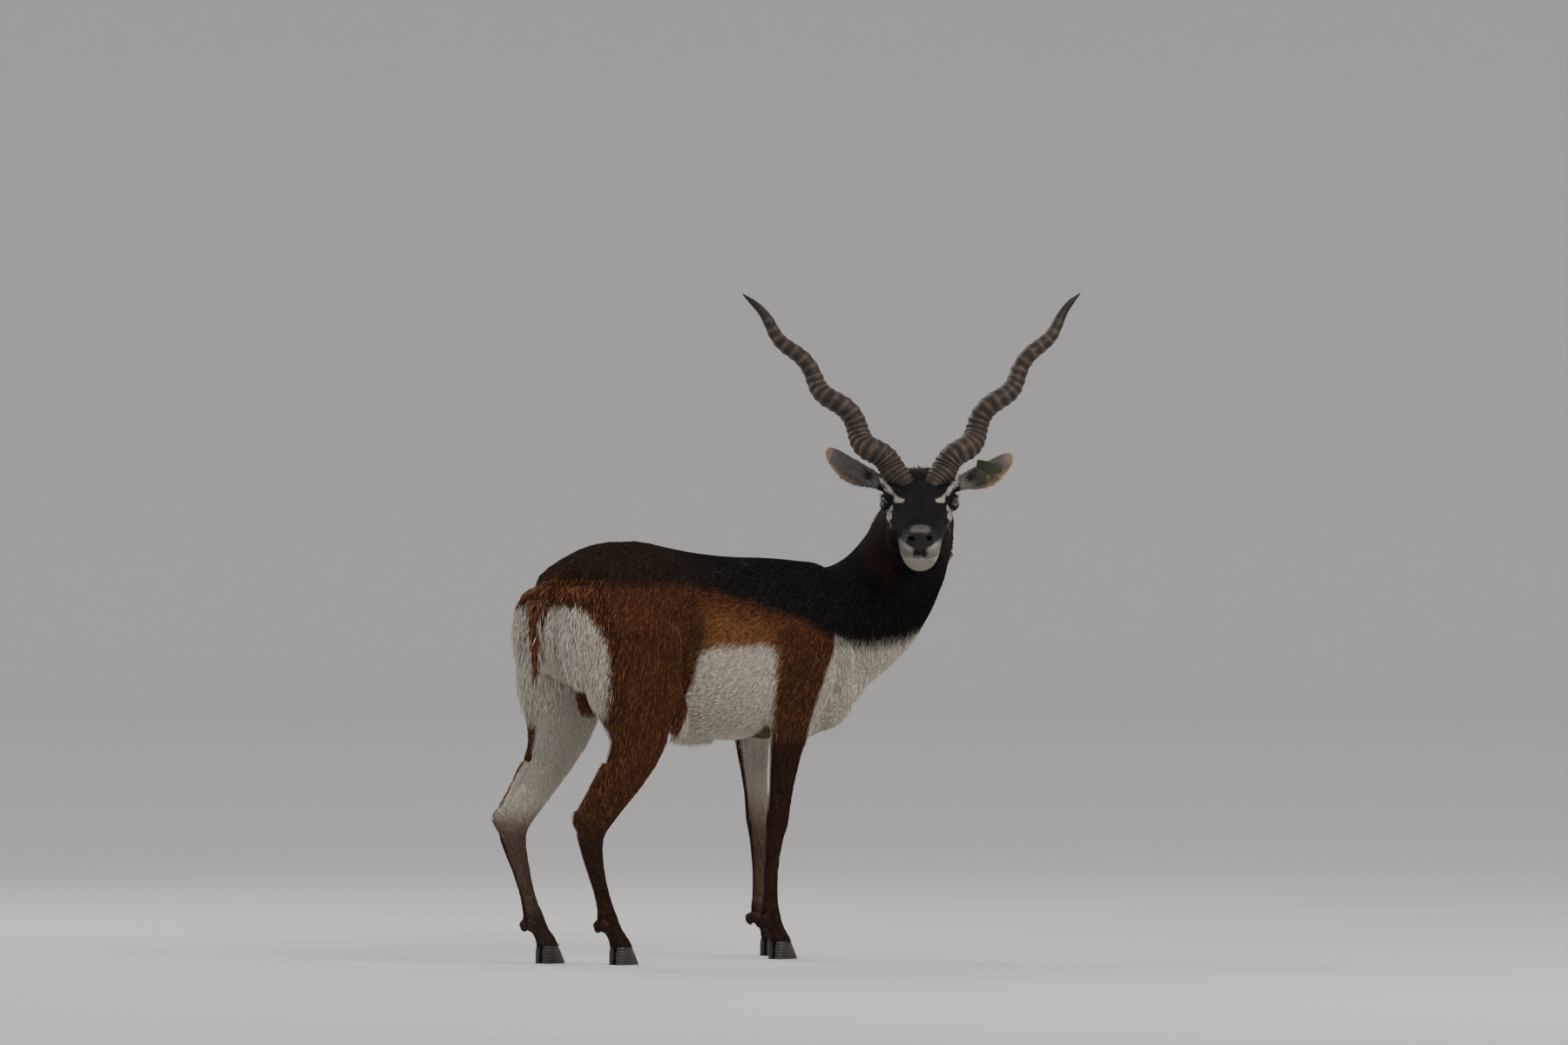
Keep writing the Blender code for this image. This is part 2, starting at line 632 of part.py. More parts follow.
def horn_shape(name, start, end=None, spread=0.0):
    """A ringed spiral horn between two distances from its root, spread for the pocket that it sits in."""
    frame = horn_frame(name)
    _, length, along, outward, _ = frame
    end = length if end is None else end
    crests = horn_ring_places(length)
    places = crests + [(a + b) / 2 for a, b in zip(crests, crests[1:])]
    places += [length - back_from_tip for back_from_tip in (0.045, 0.028, 0.012)]
    places = sorted([p for p in places if start < p < end] + [start, end])
    rings = []
    for s in places:
        tangent = along
        if s > 0:
            tangent = (horn_centre(frame, s + 0.004) - horn_centre(frame, s - 0.004)).normalized()
        u = (outward - tangent * outward.dot(tangent)).normalized()
        v = tangent.cross(u)
        radius = horn_radius(s / length) * (1.035 if s in crests else 0.965) + spread
        rings.append([horn_centre(frame, s) + u * radius * math.cos(a) + v * radius * math.sin(a)
                      for a in [2 * math.pi * k / HORN_SIDES for k in range(HORN_SIDES)]])
    return closed_rings(rings)


def ear_shape(name, start=0.0, end=1.0, spread=0.0):
    """A cupped leaf on a round root, its hollow to the front. The root is spread for its pocket."""
    side = SIDES[name]
    level = level_matrix()
    root = EYE_LEVEL + level @ Vector((EAR_ROOT.x, side * EAR_ROOT.y, EAR_ROOT.z))
    tip = EYE_LEVEL + level @ EAR_TIPS[name]
    along = (tip - root).normalized()
    front = level @ Vector((0.96, side * 0.28, 0.0))
    front = (front - along * front.dot(along)).normalized()
    upper = along.cross(front) * side
    if upper.z < 0:
        upper = -upper
    length = (tip - root).length
    # share of the length, half width, depth of the back, depth of the hollow, lift towards the upper edge
    stations = [
        (0.00, 0.0125, 0.0120, -0.0110, 0.0),
        (0.12, 0.0125, 0.0125, -0.0110, 0.0),
        (0.24, 0.0145, 0.0140, -0.0040, -0.001),
        (0.34, 0.0178, 0.0145, 0.0050, -0.003),
        (0.46, 0.0208, 0.0135, 0.0078, -0.005),
        (0.58, 0.0222, 0.0115, 0.0072, -0.006),
        (0.70, 0.0205, 0.0092, 0.0056, -0.005),
        (0.82, 0.0160, 0.0068, 0.0038, -0.003),
        (0.92, 0.0102, 0.0044, 0.0020, -0.001),
        (1.00, 0.0030, 0.0020, 0.0004, 0.001),
    ]
    arc = 7
    rings = []
    for share, half, deep, hollow, lift in stations:
        if share < start or share > end:
            continue
        middle = root + along * (length * share - (spread if share == 0 else 0)) + upper * lift * 1.4
        half, deep, hollow = half + spread, deep + spread, hollow - spread
        ring = []
        for k in range(arc + 1):
            angle = math.pi * k / arc
            ring.append(middle + upper * half * math.cos(angle) - front * deep * math.sin(angle))
        for k in range(arc - 1, 0, -1):
            angle = math.pi * k / arc
            ring.append(middle + upper * half * 0.93 * math.cos(angle) - front * hollow * math.sin(angle))
        rings.append(ring if side == RIGHT else ring[::-1])
    points, faces = closed_rings(rings)
    return points, faces


def eye_matrix(side):
    """From an eye's own axes, with the gaze along Z, to the body's."""
    centre = head_matrix() @ Vector((EYE_CENTRE.x, side * EYE_CENTRE.y, EYE_CENTRE.z))
    gaze = head_matrix().to_3x3() @ Vector((EYE_GAZE.x, side * EYE_GAZE.y, EYE_GAZE.z)).normalized()
    up = head_matrix().to_3x3() @ Vector((0.10, 0, 1))
    across = up.cross(gaze).normalized()
    up = gaze.cross(across)
    turn = Matrix((across, up, gaze)).transposed().to_4x4()
    return Matrix.Translation(centre) @ turn


def ball(radius, rings=9, ring=14):
    """A round ball with its poles on Z."""
    rows = []
    for i in range(1, rings):
        polar = math.pi * i / rings
        rows.append([Vector((radius * math.sin(polar) * math.cos(a), radius * math.sin(polar) * math.sin(a),
                             -radius * math.cos(polar)))
                     for a in [2 * math.pi * k / ring for k in range(ring)]])
    return closed_rings(rows)


def lid_opening(side):
    """The almond between the lids, drawn outwards from the middle of the eye."""
    rings = []
    for depth in (0.004, EYE_RADIUS + LID + 0.012):
        spread = 0.75 + 0.25 * depth / EYE_RADIUS
        ring = []
        for k in range(16):
            angle = 2 * math.pi * k / 16
            x = 0.0128 * math.cos(angle)
            y = 0.0092 * math.sin(angle) * (0.72 + 0.28 * abs(math.sin(angle)))
            ring.append(Vector((x * spread, y * spread, depth)))
        rings.append(ring)
    return moved(closed_rings(rings), eye_matrix(side))


def mouth_slit(head):
    """A groove round the muzzle from one corner of the mouth to the other, laid on the head's surface."""
    tree = BVHTree.FromObject(head, bpy.context.evaluated_depsgraph_get())
    matrix = head_matrix()
    rings = []
    count = 22
    for k in range(count + 1):
        share = 2 * k / count - 1
        angle = share * math.radians(122)
        origin = Vector((0.088, 0, -0.0705 - 0.004 * (1 - abs(share))))
        ray = Vector((math.cos(angle), math.sin(angle), 0))
        hit = tree.ray_cast(matrix @ origin, matrix.to_3x3() @ ray)
        reach = hit[3]
        depth = 0.0045 * (1 - 0.7 * share ** 6)
        rise = 0.006 * abs(share) ** 3
        middle = origin + Vector((0, 0, rise))
        thick = 0.0013 * (1 - 0.6 * share ** 6)
        rings.append([
            matrix @ (middle + ray * (reach - depth)),
            matrix @ (middle + ray * (reach + 0.004) + Vector((0, 0, 2.2 * thick))),
            matrix @ (middle + ray * (reach + 0.004) + Vector((0, 0, -2.2 * thick))),
        ])
    return closed_rings(rings)


def nostril(side):
    """A slanting comma that runs back and inwards from the nose pad."""
    stations = [
        (0.156, 0.0200, -0.0350, 0.0062, 0.0052, 0.0044, 0),
        (0.144, 0.0172, -0.0375, 0.0056, 0.0046, 0.0040, 0),
        (0.132, 0.0125, -0.0400, 0.0040, 0.0034, 0.0034, 0),
    ]
    rows = [(x, side * y, z, half, up, down, yaw) for x, y, z, half, up, down, yaw in stations]
    return moved(loft(rows[::-1], ring=10, steps=2), head_matrix())


def gland_slit(side):
    """The slit of the scent gland in front of the eye."""
    return moved(mass((0.040, side * 0.0515, -0.0170), (0.0115, 0.0065, 0.0022), tilt=28, turn=-side * 16),
                 head_matrix())


def claw_shape(x, y, side):
    """One half of a cloven hoof, flat below, its inner wall nearly straight."""
    # height, heel, toe, outer half width, inner half width
    levels = [
        (0.0, -0.019, 0.0330, 0.0078, 0.0066),
        (0.006, -0.0185, 0.0315, 0.0082, 0.0068),
        (0.020, -0.0180, 0.0240, 0.0088, 0.0070),
        (SOLE_TO_CORONET - GAP, -0.0160, 0.0160, 0.0085, 0.0064),
    ]
    rings = []
    for height, heel, toe, outer, inner in levels:
        ring = []
        for k in range(12):
            angle = 2 * math.pi * k / 12
            c, s = math.cos(angle), math.sin(angle)
            reach = toe * (1 - 0.10 * s * s) if c > 0 else -heel
            across = (outer if s > 0 else inner) * math.copysign(abs(s) ** 0.75, s)
            narrow = 1 - 0.45 * max(0.0, c) ** 3
            ring.append(Vector((x + reach * c, y + side * (0.0088 + across * narrow), height)))
        rings.append(ring if side > 0 else ring[::-1])
    return closed_rings(rings)


def lock(root, tip, out, half, thick):
    """A flat tapered lock of hair that bends from root to tip, five rings long. Out is the way it bulges."""
    along = (tip - root).normalized()
    out = (out - along * out.dot(along)).normalized()
    across = out.cross(along)
    rings = []
    for share, wide in ((0.0, 0.75), (0.3, 1.0), (0.6, 0.8), (0.85, 0.42), (1.0, 0.08)):
        middle = root.lerp(tip, share) + out * half * 0.9 * math.sin(math.pi * share)
        w, t = half * wide, max(0.0004, thick * (1 - 0.7 * share))
        rings.append([middle + across * w, middle + out * t, middle - across * w, middle - out * t])
    return closed_rings(rings)


def tail_stations():
    """The tail from its root out of the rump, over and down between the haunches."""
    return [
        (0.006, 0.0, 0.638, 0.0120, 0.0090, 0.0090, 0),
        (-0.016, -0.001, 0.647, 0.0125, 0.0090, 0.0090, 0),
        (-0.035, -0.003, 0.644, 0.0130, 0.0085, 0.0080, 0),
        (-0.046, -0.005, 0.624, 0.0135, 0.0075, 0.0070, 0),
        (-0.049, -0.007, 0.590, 0.0130, 0.0065, 0.0060, 0),
        (-0.0490, -0.009, 0.555, 0.0105, 0.0055, 0.0050, 0),
        (-0.048, -0.011, 0.520, 0.0065, 0.0040, 0.0040, 0),
        (-0.047, -0.013, 0.494, 0.0022, 0.0020, 0.0020, 0),
    ]


def tail_locks():
    """Flat locks down both edges of the tail and off its end, each rooted in the core."""
    draw = random.Random(7)
    backwards = Vector((-1, 0, 0))
    rows_between = 4
    first = 3 * rows_between        # the first station that stands clear of the rump
    rows = catmull_rom([s[:4] for s in tail_stations()], rows_between)
    locks = []
    for x, y, z, half in rows[first:len(rows) - 3:rows_between]:
        for side in (LEFT, RIGHT):
            root = Vector((x - 0.001, y + side * half * 0.30, z + 0.004))
            length = draw.uniform(*TAIL_LOCK_LENGTHS)
            tip = root + Vector((-0.004, side * draw.uniform(0.006, 0.010), -length))
            locks.append(lock(root, tip, backwards + Vector((0, side * 0.6, 0)), half=0.0062, thick=0.0018))
    for offset in (-0.004, 0.0, 0.004):
        root = TAIL_END + Vector((0, offset, 0))
        tip = root + Vector((-0.001, offset * 1.2, -draw.uniform(*TAIL_END_LENGTHS)))
        locks.append(lock(root, tip, backwards, half=0.0040, thick=0.0016))
    return locks


def tail_core():
    return loft(tail_stations(), ring=TAIL_RING, steps=3, power=2.2)


def tail_pocket():
    """The hollow in the rump that the root of the tail sits in."""
    rows = [(x, y, z, half + GAP, before + GAP, behind + GAP, yaw)
            for x, y, z, half, before, behind, yaw in tail_stations()]
    points, _ = loft(rows, ring=TAIL_RING, steps=3, power=2.2)
    rings = [points[i:i + TAIL_RING] for i in range(0, len(points), TAIL_RING)]
    rings[0] = [p + Vector((GAP, 0, 0)) for p in rings[0]]
    return closed_rings(rings[:TAIL_RINGS_IN_POCKET])


def tag_matrix():
    """From the tag's own axes (right, up, out of the ear) to the body's."""
    level = level_matrix().to_4x4()
    place = EYE_LEVEL + level_matrix() @ TAG_PLACE
    out = Matrix(((0, 0, 1, 0), (1, 0, 0, 0), (0, 1, 0, 0), (0, 0, 0, 1)))
    tilt = Matrix.Rotation(TAG_TILT, 4, "Z")
    return Matrix.Translation(place) @ level @ out @ tilt


def plate(outline, thickness):
    """A flat plate of a convex outline."""
    rings = [[Vector((x, y, z)) for x, y in outline] for z in (-thickness / 2, thickness / 2)]
    return closed_rings(rings)


def disc(radius, low, high, sides=12):
    """A short round bar about the tag's pin, between two heights in the tag's axes."""
    rings = [[TAG_PIN + Vector((radius * math.cos(a), radius * math.sin(a), z))
              for a in [2 * math.pi * k / sides for k in range(sides)]] for z in (low, high)]
    return moved(closed_rings(rings), tag_matrix())


def back_of_ear(ear):
    """Height in the tag's axes of the furthest point of the ear's back under the tag's button."""
    tree = BVHTree.FromObject(ear, bpy.context.evaluated_depsgraph_get())
    matrix = tag_matrix()
    far = 0.06
    heights = []
    for k in range(8):
        angle = 2 * math.pi * k / 8
        for radius in (TAG_PIN_RADIUS, TAG_BUTTON_RADIUS):
            foot = TAG_PIN + Vector((radius * math.cos(angle), radius * math.sin(angle), -far))
            hit = tree.ray_cast(matrix @ foot, matrix.to_3x3() @ Vector((0, 0, 1)))
            if hit[0] is not None:
                heights.append(hit[3] - far)
    return min(heights)


def tag_shapes(ear):
    """The tag's flag, its stud cap, the pin through the ear and the button behind the ear."""
    back = back_of_ear(ear) - GAP
    return [tag_plate(), disc(TAG_CAP_RADIUS, -0.0005, 0.0024), disc(TAG_PIN_RADIUS, back - 0.0010, 0.0012),
            disc(TAG_BUTTON_RADIUS, back - 0.0022, back)]


def tag_plate():
    """The blank flag of the ear tag: a wide plate that narrows to the neck where its stud sits."""
    outline = [(-0.0055, -0.0195), (0.0055, -0.0195), (0.0075, -0.0165), (0.0085, -0.0060), (0.0240, -0.0010),
               (0.0248, 0.0020), (0.0245, 0.0150), (0.0230, 0.0165), (-0.0230, 0.0165), (-0.0245, 0.0150),
               (-0.0248, 0.0020), (-0.0240, -0.0010), (-0.0085, -0.0060), (-0.0075, -0.0165)]
    return moved(plate(outline, TAG_THICKNESS), tag_matrix())


def plain_material(name, colour, roughness, metallic=0.0):
    material = bpy.data.materials.new(name)
    material.use_nodes = True
    shader = material.node_tree.nodes["Principled BSDF"]
    shader.inputs["Base Color"].default_value = (*colour, 1)
    shader.inputs["Roughness"].default_value = roughness
    shader.inputs["Metallic"].default_value = metallic
    return material


def fleshy_parts():
    """The skin of the whole animal, fused, thinned out and cut into its named parts."""
    skin = fused_skin(body_forms(), SKIN_VOXEL, SKIN_SMOOTHING)
    coarser(skin, SKIN_TRIANGLES)
    soles_off(skin)
    return part_skin(skin, cuts_of_the_body(), markers_of_the_body())


def carve_head(head):
    """Opens eyes, lids, nostrils, mouth and gland slits, and makes room for the horns and ears."""
    cuts = [mouth_slit(head)]
    for name, side in SIDES.items():
        cuts += [moved(ball(EYE_RADIUS + GAP), eye_matrix(side)), lid_opening(side)]
        cuts += [nostril(side), gland_slit(side)]
        cuts += [horn_shape(name, -HORN_SUNK - GAP, 0.030, GAP), ear_shape(name, 0.0, 0.46, GAP)]
    return cut_out(head, cuts)


def build():
    for obj in list(bpy.data.objects):
        bpy.data.objects.remove(obj)
    coat = plain_material("coat_dark_brown", (0.045, 0.030, 0.022), 0.85)
    tan = plain_material("coat_tan", (0.300, 0.150, 0.070), 0.85)
    grey = plain_material("ear_grey", (0.330, 0.300, 0.280), 0.85)
    black = plain_material("eye_black", (0.010, 0.008, 0.007), 0.12)
    horn = plain_material("horn", (0.060, 0.040, 0.028), 0.45)
    hoof = plain_material("hoof", (0.022, 0.019, 0.017), 0.40)
    green = plain_material("tag_green", (0.045, 0.060, 0.020), 0.45)

    pieces = fleshy_parts()
    carve_head(pieces["head"])
    cut_out(pieces["torso"], [tail_pocket()])
    finish = {name: (tan if "leg" in name else coat) for name in pieces}
    for name, side in SIDES.items():
        pieces["horn_" + name] = mesh_object("horn_" + name, *horn_shape(name, -HORN_SUNK))
        pieces["ear_" + name] = mesh_object("ear_" + name, *ear_shape(name))
        pieces["eye_" + name] = mesh_object("eye_" + name, *moved(ball(EYE_RADIUS), eye_matrix(side)))
        finish.update({"horn_" + name: horn, "ear_" + name: grey, "eye_" + name: black})
        for leg, x, y in (("hind", HOOF_X_HIND + SWING_HIND[name][3], HOOF_Y_HIND),
                          ("fore", HOOF_X_FORE + SWING_FORE[name][2], HOOF_Y_FORE)):
            for place, way in (("outer", side), ("inner", -side)):
                claw = "claw_%s_%s_%s" % (leg, name, place)
                pieces[claw] = mesh_object(claw, *claw_shape(x, side * y, way))
                finish[claw] = hoof
    pieces["tail"] = joined("tail", [tail_core()] + tail_locks())
    pieces["ear_tag"] = joined("ear_tag", tag_shapes(pieces["ear_left"]))
    cut_out(pieces["ear_left"], [disc(TAG_PIN_RADIUS + GAP, -0.06, 0.02)])
    finish.update({"tail": tan, "ear_tag": green})
    for name, obj in pieces.items():
        obj.data.materials.clear()
        obj.data.materials.append(finish[name])
        obj.data.transform(Matrix.Translation(-TAIL_ROOT_TO_ORIGIN))
        obj.data.shade_smooth()
        obj.data.set_sharp_from_angle(angle=math.radians(50))
        obj.data.update()
    return pieces


build()
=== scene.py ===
"""The looks of a life-size blackbuck buck that looks back over its right shoulder.

Metres, +Z up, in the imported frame: +X the way the body faces, +Y its left. One skin takes the place of the
flesh nodes, a coat of small tufts lies over it, and horns, eyes, claws and tag are finished piece by piece.
"""

import math

import bmesh
import bpy
import numpy as np
from mathutils import Matrix, Vector
from mathutils.bvhtree import BVHTree


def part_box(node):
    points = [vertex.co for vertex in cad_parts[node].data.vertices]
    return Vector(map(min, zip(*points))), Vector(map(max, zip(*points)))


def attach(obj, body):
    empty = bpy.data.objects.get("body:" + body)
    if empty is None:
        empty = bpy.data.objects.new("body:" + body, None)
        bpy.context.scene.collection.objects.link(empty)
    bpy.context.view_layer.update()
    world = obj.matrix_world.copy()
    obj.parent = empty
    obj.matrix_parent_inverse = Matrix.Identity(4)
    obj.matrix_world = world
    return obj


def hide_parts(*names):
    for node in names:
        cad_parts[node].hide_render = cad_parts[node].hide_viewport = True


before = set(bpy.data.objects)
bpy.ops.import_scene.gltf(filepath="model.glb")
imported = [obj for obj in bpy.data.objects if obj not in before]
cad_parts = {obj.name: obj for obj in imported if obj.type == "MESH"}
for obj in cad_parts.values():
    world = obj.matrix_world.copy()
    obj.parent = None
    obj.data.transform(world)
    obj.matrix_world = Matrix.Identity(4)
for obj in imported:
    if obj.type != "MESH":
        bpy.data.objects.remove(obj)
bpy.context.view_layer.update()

SEED = 11
LEFT, RIGHT = 1, -1
SIDES = {"left": LEFT, "right": RIGHT}

# The head's own axes: forward along the mouth, left, up
HEAD_YAW = math.radians(-132)
HEAD_PITCH = math.radians(12)
EYE_PLACE = Vector((0.002, 0.0535, 0.0))
EYE_RADIUS = 0.0165
EYE_GAZE = Vector((0.44, 0.88, 0.12))
LID_ALMOND = (0.0122, 0.0084)           # half the length and height of the opening between the lids
LID_OUTER = 0.0190

SKIN_VOXEL = 0.0018
SKIN_TRIANGLES = 170000
HEAD_ROUNDS = 5
TRUNK_ROUNDS = 70
BACK_ROUNDS = 150
UV_PATCH = 0.003                        # width of one tuft on the unwrap
UV_SCALE = 0.42
SHORT_TUFTS = 285000
LONG_TUFTS = 30000
COAT_PIECE_TRIANGLES = 190000
# Each tuft is painted darker at its root and lighter at its tip: painted shade among the hairs and painted
# light on their tips
ROOT_PAINTED_SHADE, TIP_PAINTED_LIGHT = 0.72, 1.10

# Half of the tail from its root to its tip: place, half width, half thickness
TAIL_CORE = [
    (-0.496, 0.0175, 0.632, 0.0120, 0.0100),
    (-0.525, 0.0165, 0.646, 0.0120, 0.0085),
    (-0.544, 0.0145, 0.643, 0.0120, 0.0075),
    (-0.555, 0.0125, 0.624, 0.0115, 0.0065),
    (-0.558, 0.0105, 0.590, 0.0105, 0.0055),
    (-0.558, 0.0085, 0.555, 0.0080, 0.0045),
    (-0.557, 0.0065, 0.522, 0.0040, 0.0030),
]

EAR_ROOT = Vector((-0.056, 0.050, 0.022))
EAR_TIPS = {"left": Vector((-0.072, 0.1706, 0.082)), "right": Vector((-0.072, -0.1690, 0.093))}

# Horns, in level axes turned with the head: forward, left, up
HORN_BASES = {"left": Vector((-0.014, 0.0440, 0.054)), "right": Vector((-0.014, -0.0470, 0.054))}
HORN_TIPS = {"left": Vector((-0.150, 0.2960, 0.382)), "right": Vector((-0.150, -0.3200, 0.382))}
HORN_SUNK = 0.044
HORN_TURN = 0.1295                      # length of one turn of the spiral
HORN_FIRST_BULGE = 0.073
HORN_RINGS = 25
WINDING_AT_ROOT, WINDING_AT_TIP = 0.0104, 0.0034     # how far the horn winds from its straight line
HORN_SMOOTH_TIP = 0.060
HORN_RADII = [(0, 0.0235), (0.12, 0.0222), (0.25, 0.0198), (0.4, 0.0186), (0.55, 0.0158), (0.7, 0.0138),
              (0.85, 0.0104), (0.95, 0.0056), (1, 0.0012)]
HORN_POINTS, HORN_SIDES = 640, 36
WINDING_STARTS_OVER = 0.05              # length from the root over which the winding grows to full width
RING_CROWDING = 0.38                    # 0 for even rings, more for closer ones at the root
RIDGE_HEIGHT = 0.044                    # how far the rings stand out, as a share of the radius

LASH_WIDTH, WHISKER_WIDTH = 0.00022, 0.00018

TAG_PLACE = Vector((-0.0520, 0.1275, 0.0570))
TAG_TILT = math.radians(-10)
TAG_PIN = Vector((0.0, -0.0125, 0.0))
TAG_RIM = 0.0018

# Colours of the coat, as light that the hair gives back
BLACK = (0.0085, 0.0078, 0.0080)
CROUP = (0.034, 0.018, 0.012)
TAN = (0.108, 0.038, 0.016)
SHANK_BROWN = (0.110, 0.075, 0.055)
TAIL_BROWN = (0.150, 0.065, 0.030)
GOLD = (0.330, 0.140, 0.050)
DARK_BROWN = (0.042, 0.020, 0.011)
WHITE = (0.640, 0.590, 0.520)
GREY_WHITE = (0.420, 0.385, 0.350)
EAR_GREY = (0.230, 0.210, 0.195)
CREAM = (0.480, 0.340, 0.230)
LID_BLACK = (0.010, 0.009, 0.009)
NOSE_BLACK = (0.010, 0.010, 0.011)
# Painted reflection of the sky: a grey spot on the top of the nose
NOSE_TOP_SKY_REFLECTION = (0.120, 0.115, 0.115)

CAMERA_AZIMUTH = math.radians(-42)      # where the camera stands, turned from -Y towards -X
CAMERA_DISTANCE = 20.0
FRAME_WIDTH = 2.844                     # how much of the animal's plane the picture spans
FRAME_CENTRE = (0.0209, 0.79)           # right of the origin and above the floor
SENSOR_WIDTH = 36.0
FLOOR_RADIUS, COVE_RADIUS, BACKDROP_HEIGHT = 24.0, 6.0, 11.0
FLOOR_GREY = (0.66, 0.655, 0.65)


def node_middle(node):
    low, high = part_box(node)
    return (low + high) / 2


def head_turn():
    return Matrix.Rotation(HEAD_YAW, 3, "Z") @ Matrix.Rotation(HEAD_PITCH, 3, "Y")


def level_turn():
    return Matrix.Rotation(HEAD_YAW, 3, "Z")


MIDLINE = node_middle("torso").y
EYES_MIDDLE = (node_middle("eye_left") + node_middle("eye_right")) / 2
EYE_LEVEL = EYES_MIDDLE - head_turn() @ Vector((EYE_PLACE.x, 0, 0))


def to_head(points):
    """Points of the frame in the head's own axes."""
    return (points - np.array(EYE_LEVEL)) @ np.array(head_turn())


def from_head(points):
    return np.array(points) @ np.array(head_turn()).T + np.array(EYE_LEVEL)


def smooth(value, low, high):
    """0 below low, 1 above high, and an even slope between."""
    t = np.clip((value - low) / (high - low), 0, 1)
    return t * t * (3 - 2 * t)


def unit(vectors):
    return vectors / np.maximum(np.linalg.norm(vectors, axis=-1, keepdims=True), 1e-9)


def catmull_rom(values, steps):
    """The rows of values with steps - 1 smooth rows put between each pair."""
    values = np.array(values, float)
    padded = np.vstack([2 * values[0] - values[1], values, 2 * values[-1] - values[-2]])
    rows = []
    for i in range(len(values) - 1):
        a, b, c, d = padded[i:i + 4]
        for t in np.arange(steps) / steps:
            rows.append(0.5 * (2 * b + (c - a) * t + (2 * a - 5 * b + 4 * c - d) * t * t
                               + (3 * b - a - 3 * c + d) * t ** 3))
    rows.append(values[-1])
    return np.array(rows)


def closed_rings(rings):
    """(points, faces) of a closed skin through rings of equal length, with both ends capped."""
    rings = np.array(rings, float)
    count, ring = rings.shape[:2]
    faces = [tuple(range(ring - 1, -1, -1))]
    for i in range(count - 1):
        a, b = i * ring, (i + 1) * ring
        faces += [(a + j, a + (j + 1) % ring, b + (j + 1) % ring, b + j) for j in range(ring)]
    faces.append(tuple(range((count - 1) * ring, count * ring)))
    return rings.reshape(-1, 3), faces


def tube(path, radii, ring=10):
    """A closed round tube along a path, with a radius for each of its points."""
    path = np.array(path, float)
    tangents = unit(np.gradient(path, axis=0))
    side = unit(np.cross(tangents, (0.31, 0.17, 0.93)))
    up = np.cross(side, tangents)
    angles = 2 * np.pi * np.arange(ring) / ring
    radii = np.broadcast_to(radii, len(path))
    rings = (path[:, None] + radii[:, None, None] * (side[:, None] * np.cos(angles)[None, :, None]
                                                     - up[:, None] * np.sin(angles)[None, :, None]))
    return closed_rings(rings)


def mesh_object(name, points, faces):
    mesh = bpy.data.meshes.new(name)
    mesh.from_pydata([tuple(p) for p in points], [], faces)
    mesh.update()
    obj = bpy.data.objects.new(name, mesh)
    bpy.context.scene.collection.objects.link(obj)
    return obj


def bake(obj):
    """Replaces the object's mesh by the one its modifiers make, and removes them."""
    bpy.context.view_layer.update()
    made = bpy.data.meshes.new_from_object(obj.evaluated_get(bpy.context.evaluated_depsgraph_get()))
    obj.modifiers.clear()
    obj.data = made
    return obj


def finish_piece(obj, material, nodes=(), smooth_angle=None):
    """Gives a piece its finish, seats it on the frame's body and hides the nodes that it stands for."""
    obj.data.materials.clear()
    obj.data.materials.append(material)
    obj.data.shade_smooth()
    if smooth_angle is not None:
        obj.data.set_sharp_from_angle(angle=math.radians(smooth_angle))
    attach(obj, "root")
    if nodes:
        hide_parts(*nodes)
    return obj


def outwards(obj):
    """Turns the faces of a closed mesh outwards, by the sign of its volume."""
    bm = bmesh.new()
    bm.from_mesh(obj.data)
    bmesh.ops.recalc_face_normals(bm, faces=bm.faces)
    if bm.calc_volume(signed=True) < 0:
        bmesh.ops.reverse_faces(bm, faces=bm.faces)
    bm.to_mesh(obj.data)
    bm.free()
    return obj


# The skin

FLESH = ["torso", "neck", "head"] + [
    "%s_leg_%s_%s" % (leg, part, side)
    for leg in ("fore", "hind") for part in ("upper", "lower") for side in SIDES]


def node_shape(node):
    """(points, faces) of a CAD node with its loose triangles merged."""
    bm = bmesh.new()
    bm.from_mesh(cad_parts[node].data)
    bmesh.ops.remove_doubles(bm, verts=bm.verts, dist=1e-5)
    bm.verts.index_update()
    shape = np.array([v.co for v in bm.verts]), [tuple(v.index for v in f.verts) for f in bm.faces]
    bm.free()
    return shape


def eye_turn(side):
    """The eye's axes: towards the front corner, up, and along the gaze."""
    turn = head_turn()
    gaze = turn @ Vector((EYE_GAZE.x, side * EYE_GAZE.y, EYE_GAZE.z)).normalized()
    up = turn @ Vector((0.10, 0, 1))
    across = up.cross(gaze).normalized()
    return Matrix((across, gaze.cross(across), gaze)).transposed()


def eye_centre(name):
    return node_middle("eye_" + name)


def tail_shape():
    rows = catmull_rom(TAIL_CORE, 5)
    tangents = unit(np.gradient(rows[:, :3], axis=0))
    side = np.array([0.0, 1.0, 0.0])
    side = unit(side - tangents * (tangents @ side)[:, None])
    up = np.cross(tangents, side)
    angles = 2 * np.pi * np.arange(16) / 16
    rings = (rows[:, None, :3] + side[:, None] * (rows[:, 3:4] * np.cos(angles))[..., None]
             + up[:, None] * (rows[:, 4:5] * np.sin(angles))[..., None])
    return closed_rings(rings)


def muzzle_folds():
    """Nostril wings and the folds under the eyes, as thin tubes fused into the skin."""
    shapes = []
    for side in SIDES.values():
        wing = [(0.1415, 0.0262, -0.0400), (0.1465, 0.0235, -0.0318), (0.1490, 0.0165, -0.0292),
                (0.1478, 0.0105, -0.0330), (0.1440, 0.0080, -0.0395)]
        line = catmull_rom([(f, side * l, u) for f, l, u in wing], 4)
        shapes.append(tube(from_head(line), 0.0019))
        crease = [(0.030, 0.0520, -0.0120), (0.010, 0.0580, -0.0215), (-0.014, 0.0600, -0.0190),
                  (-0.026, 0.0595, -0.0080)]
        line = catmull_rom([(f, side * l, u) for f, l, u in crease], 4)
        shapes.append(tube(from_head(line), 0.0014))
    return shapes


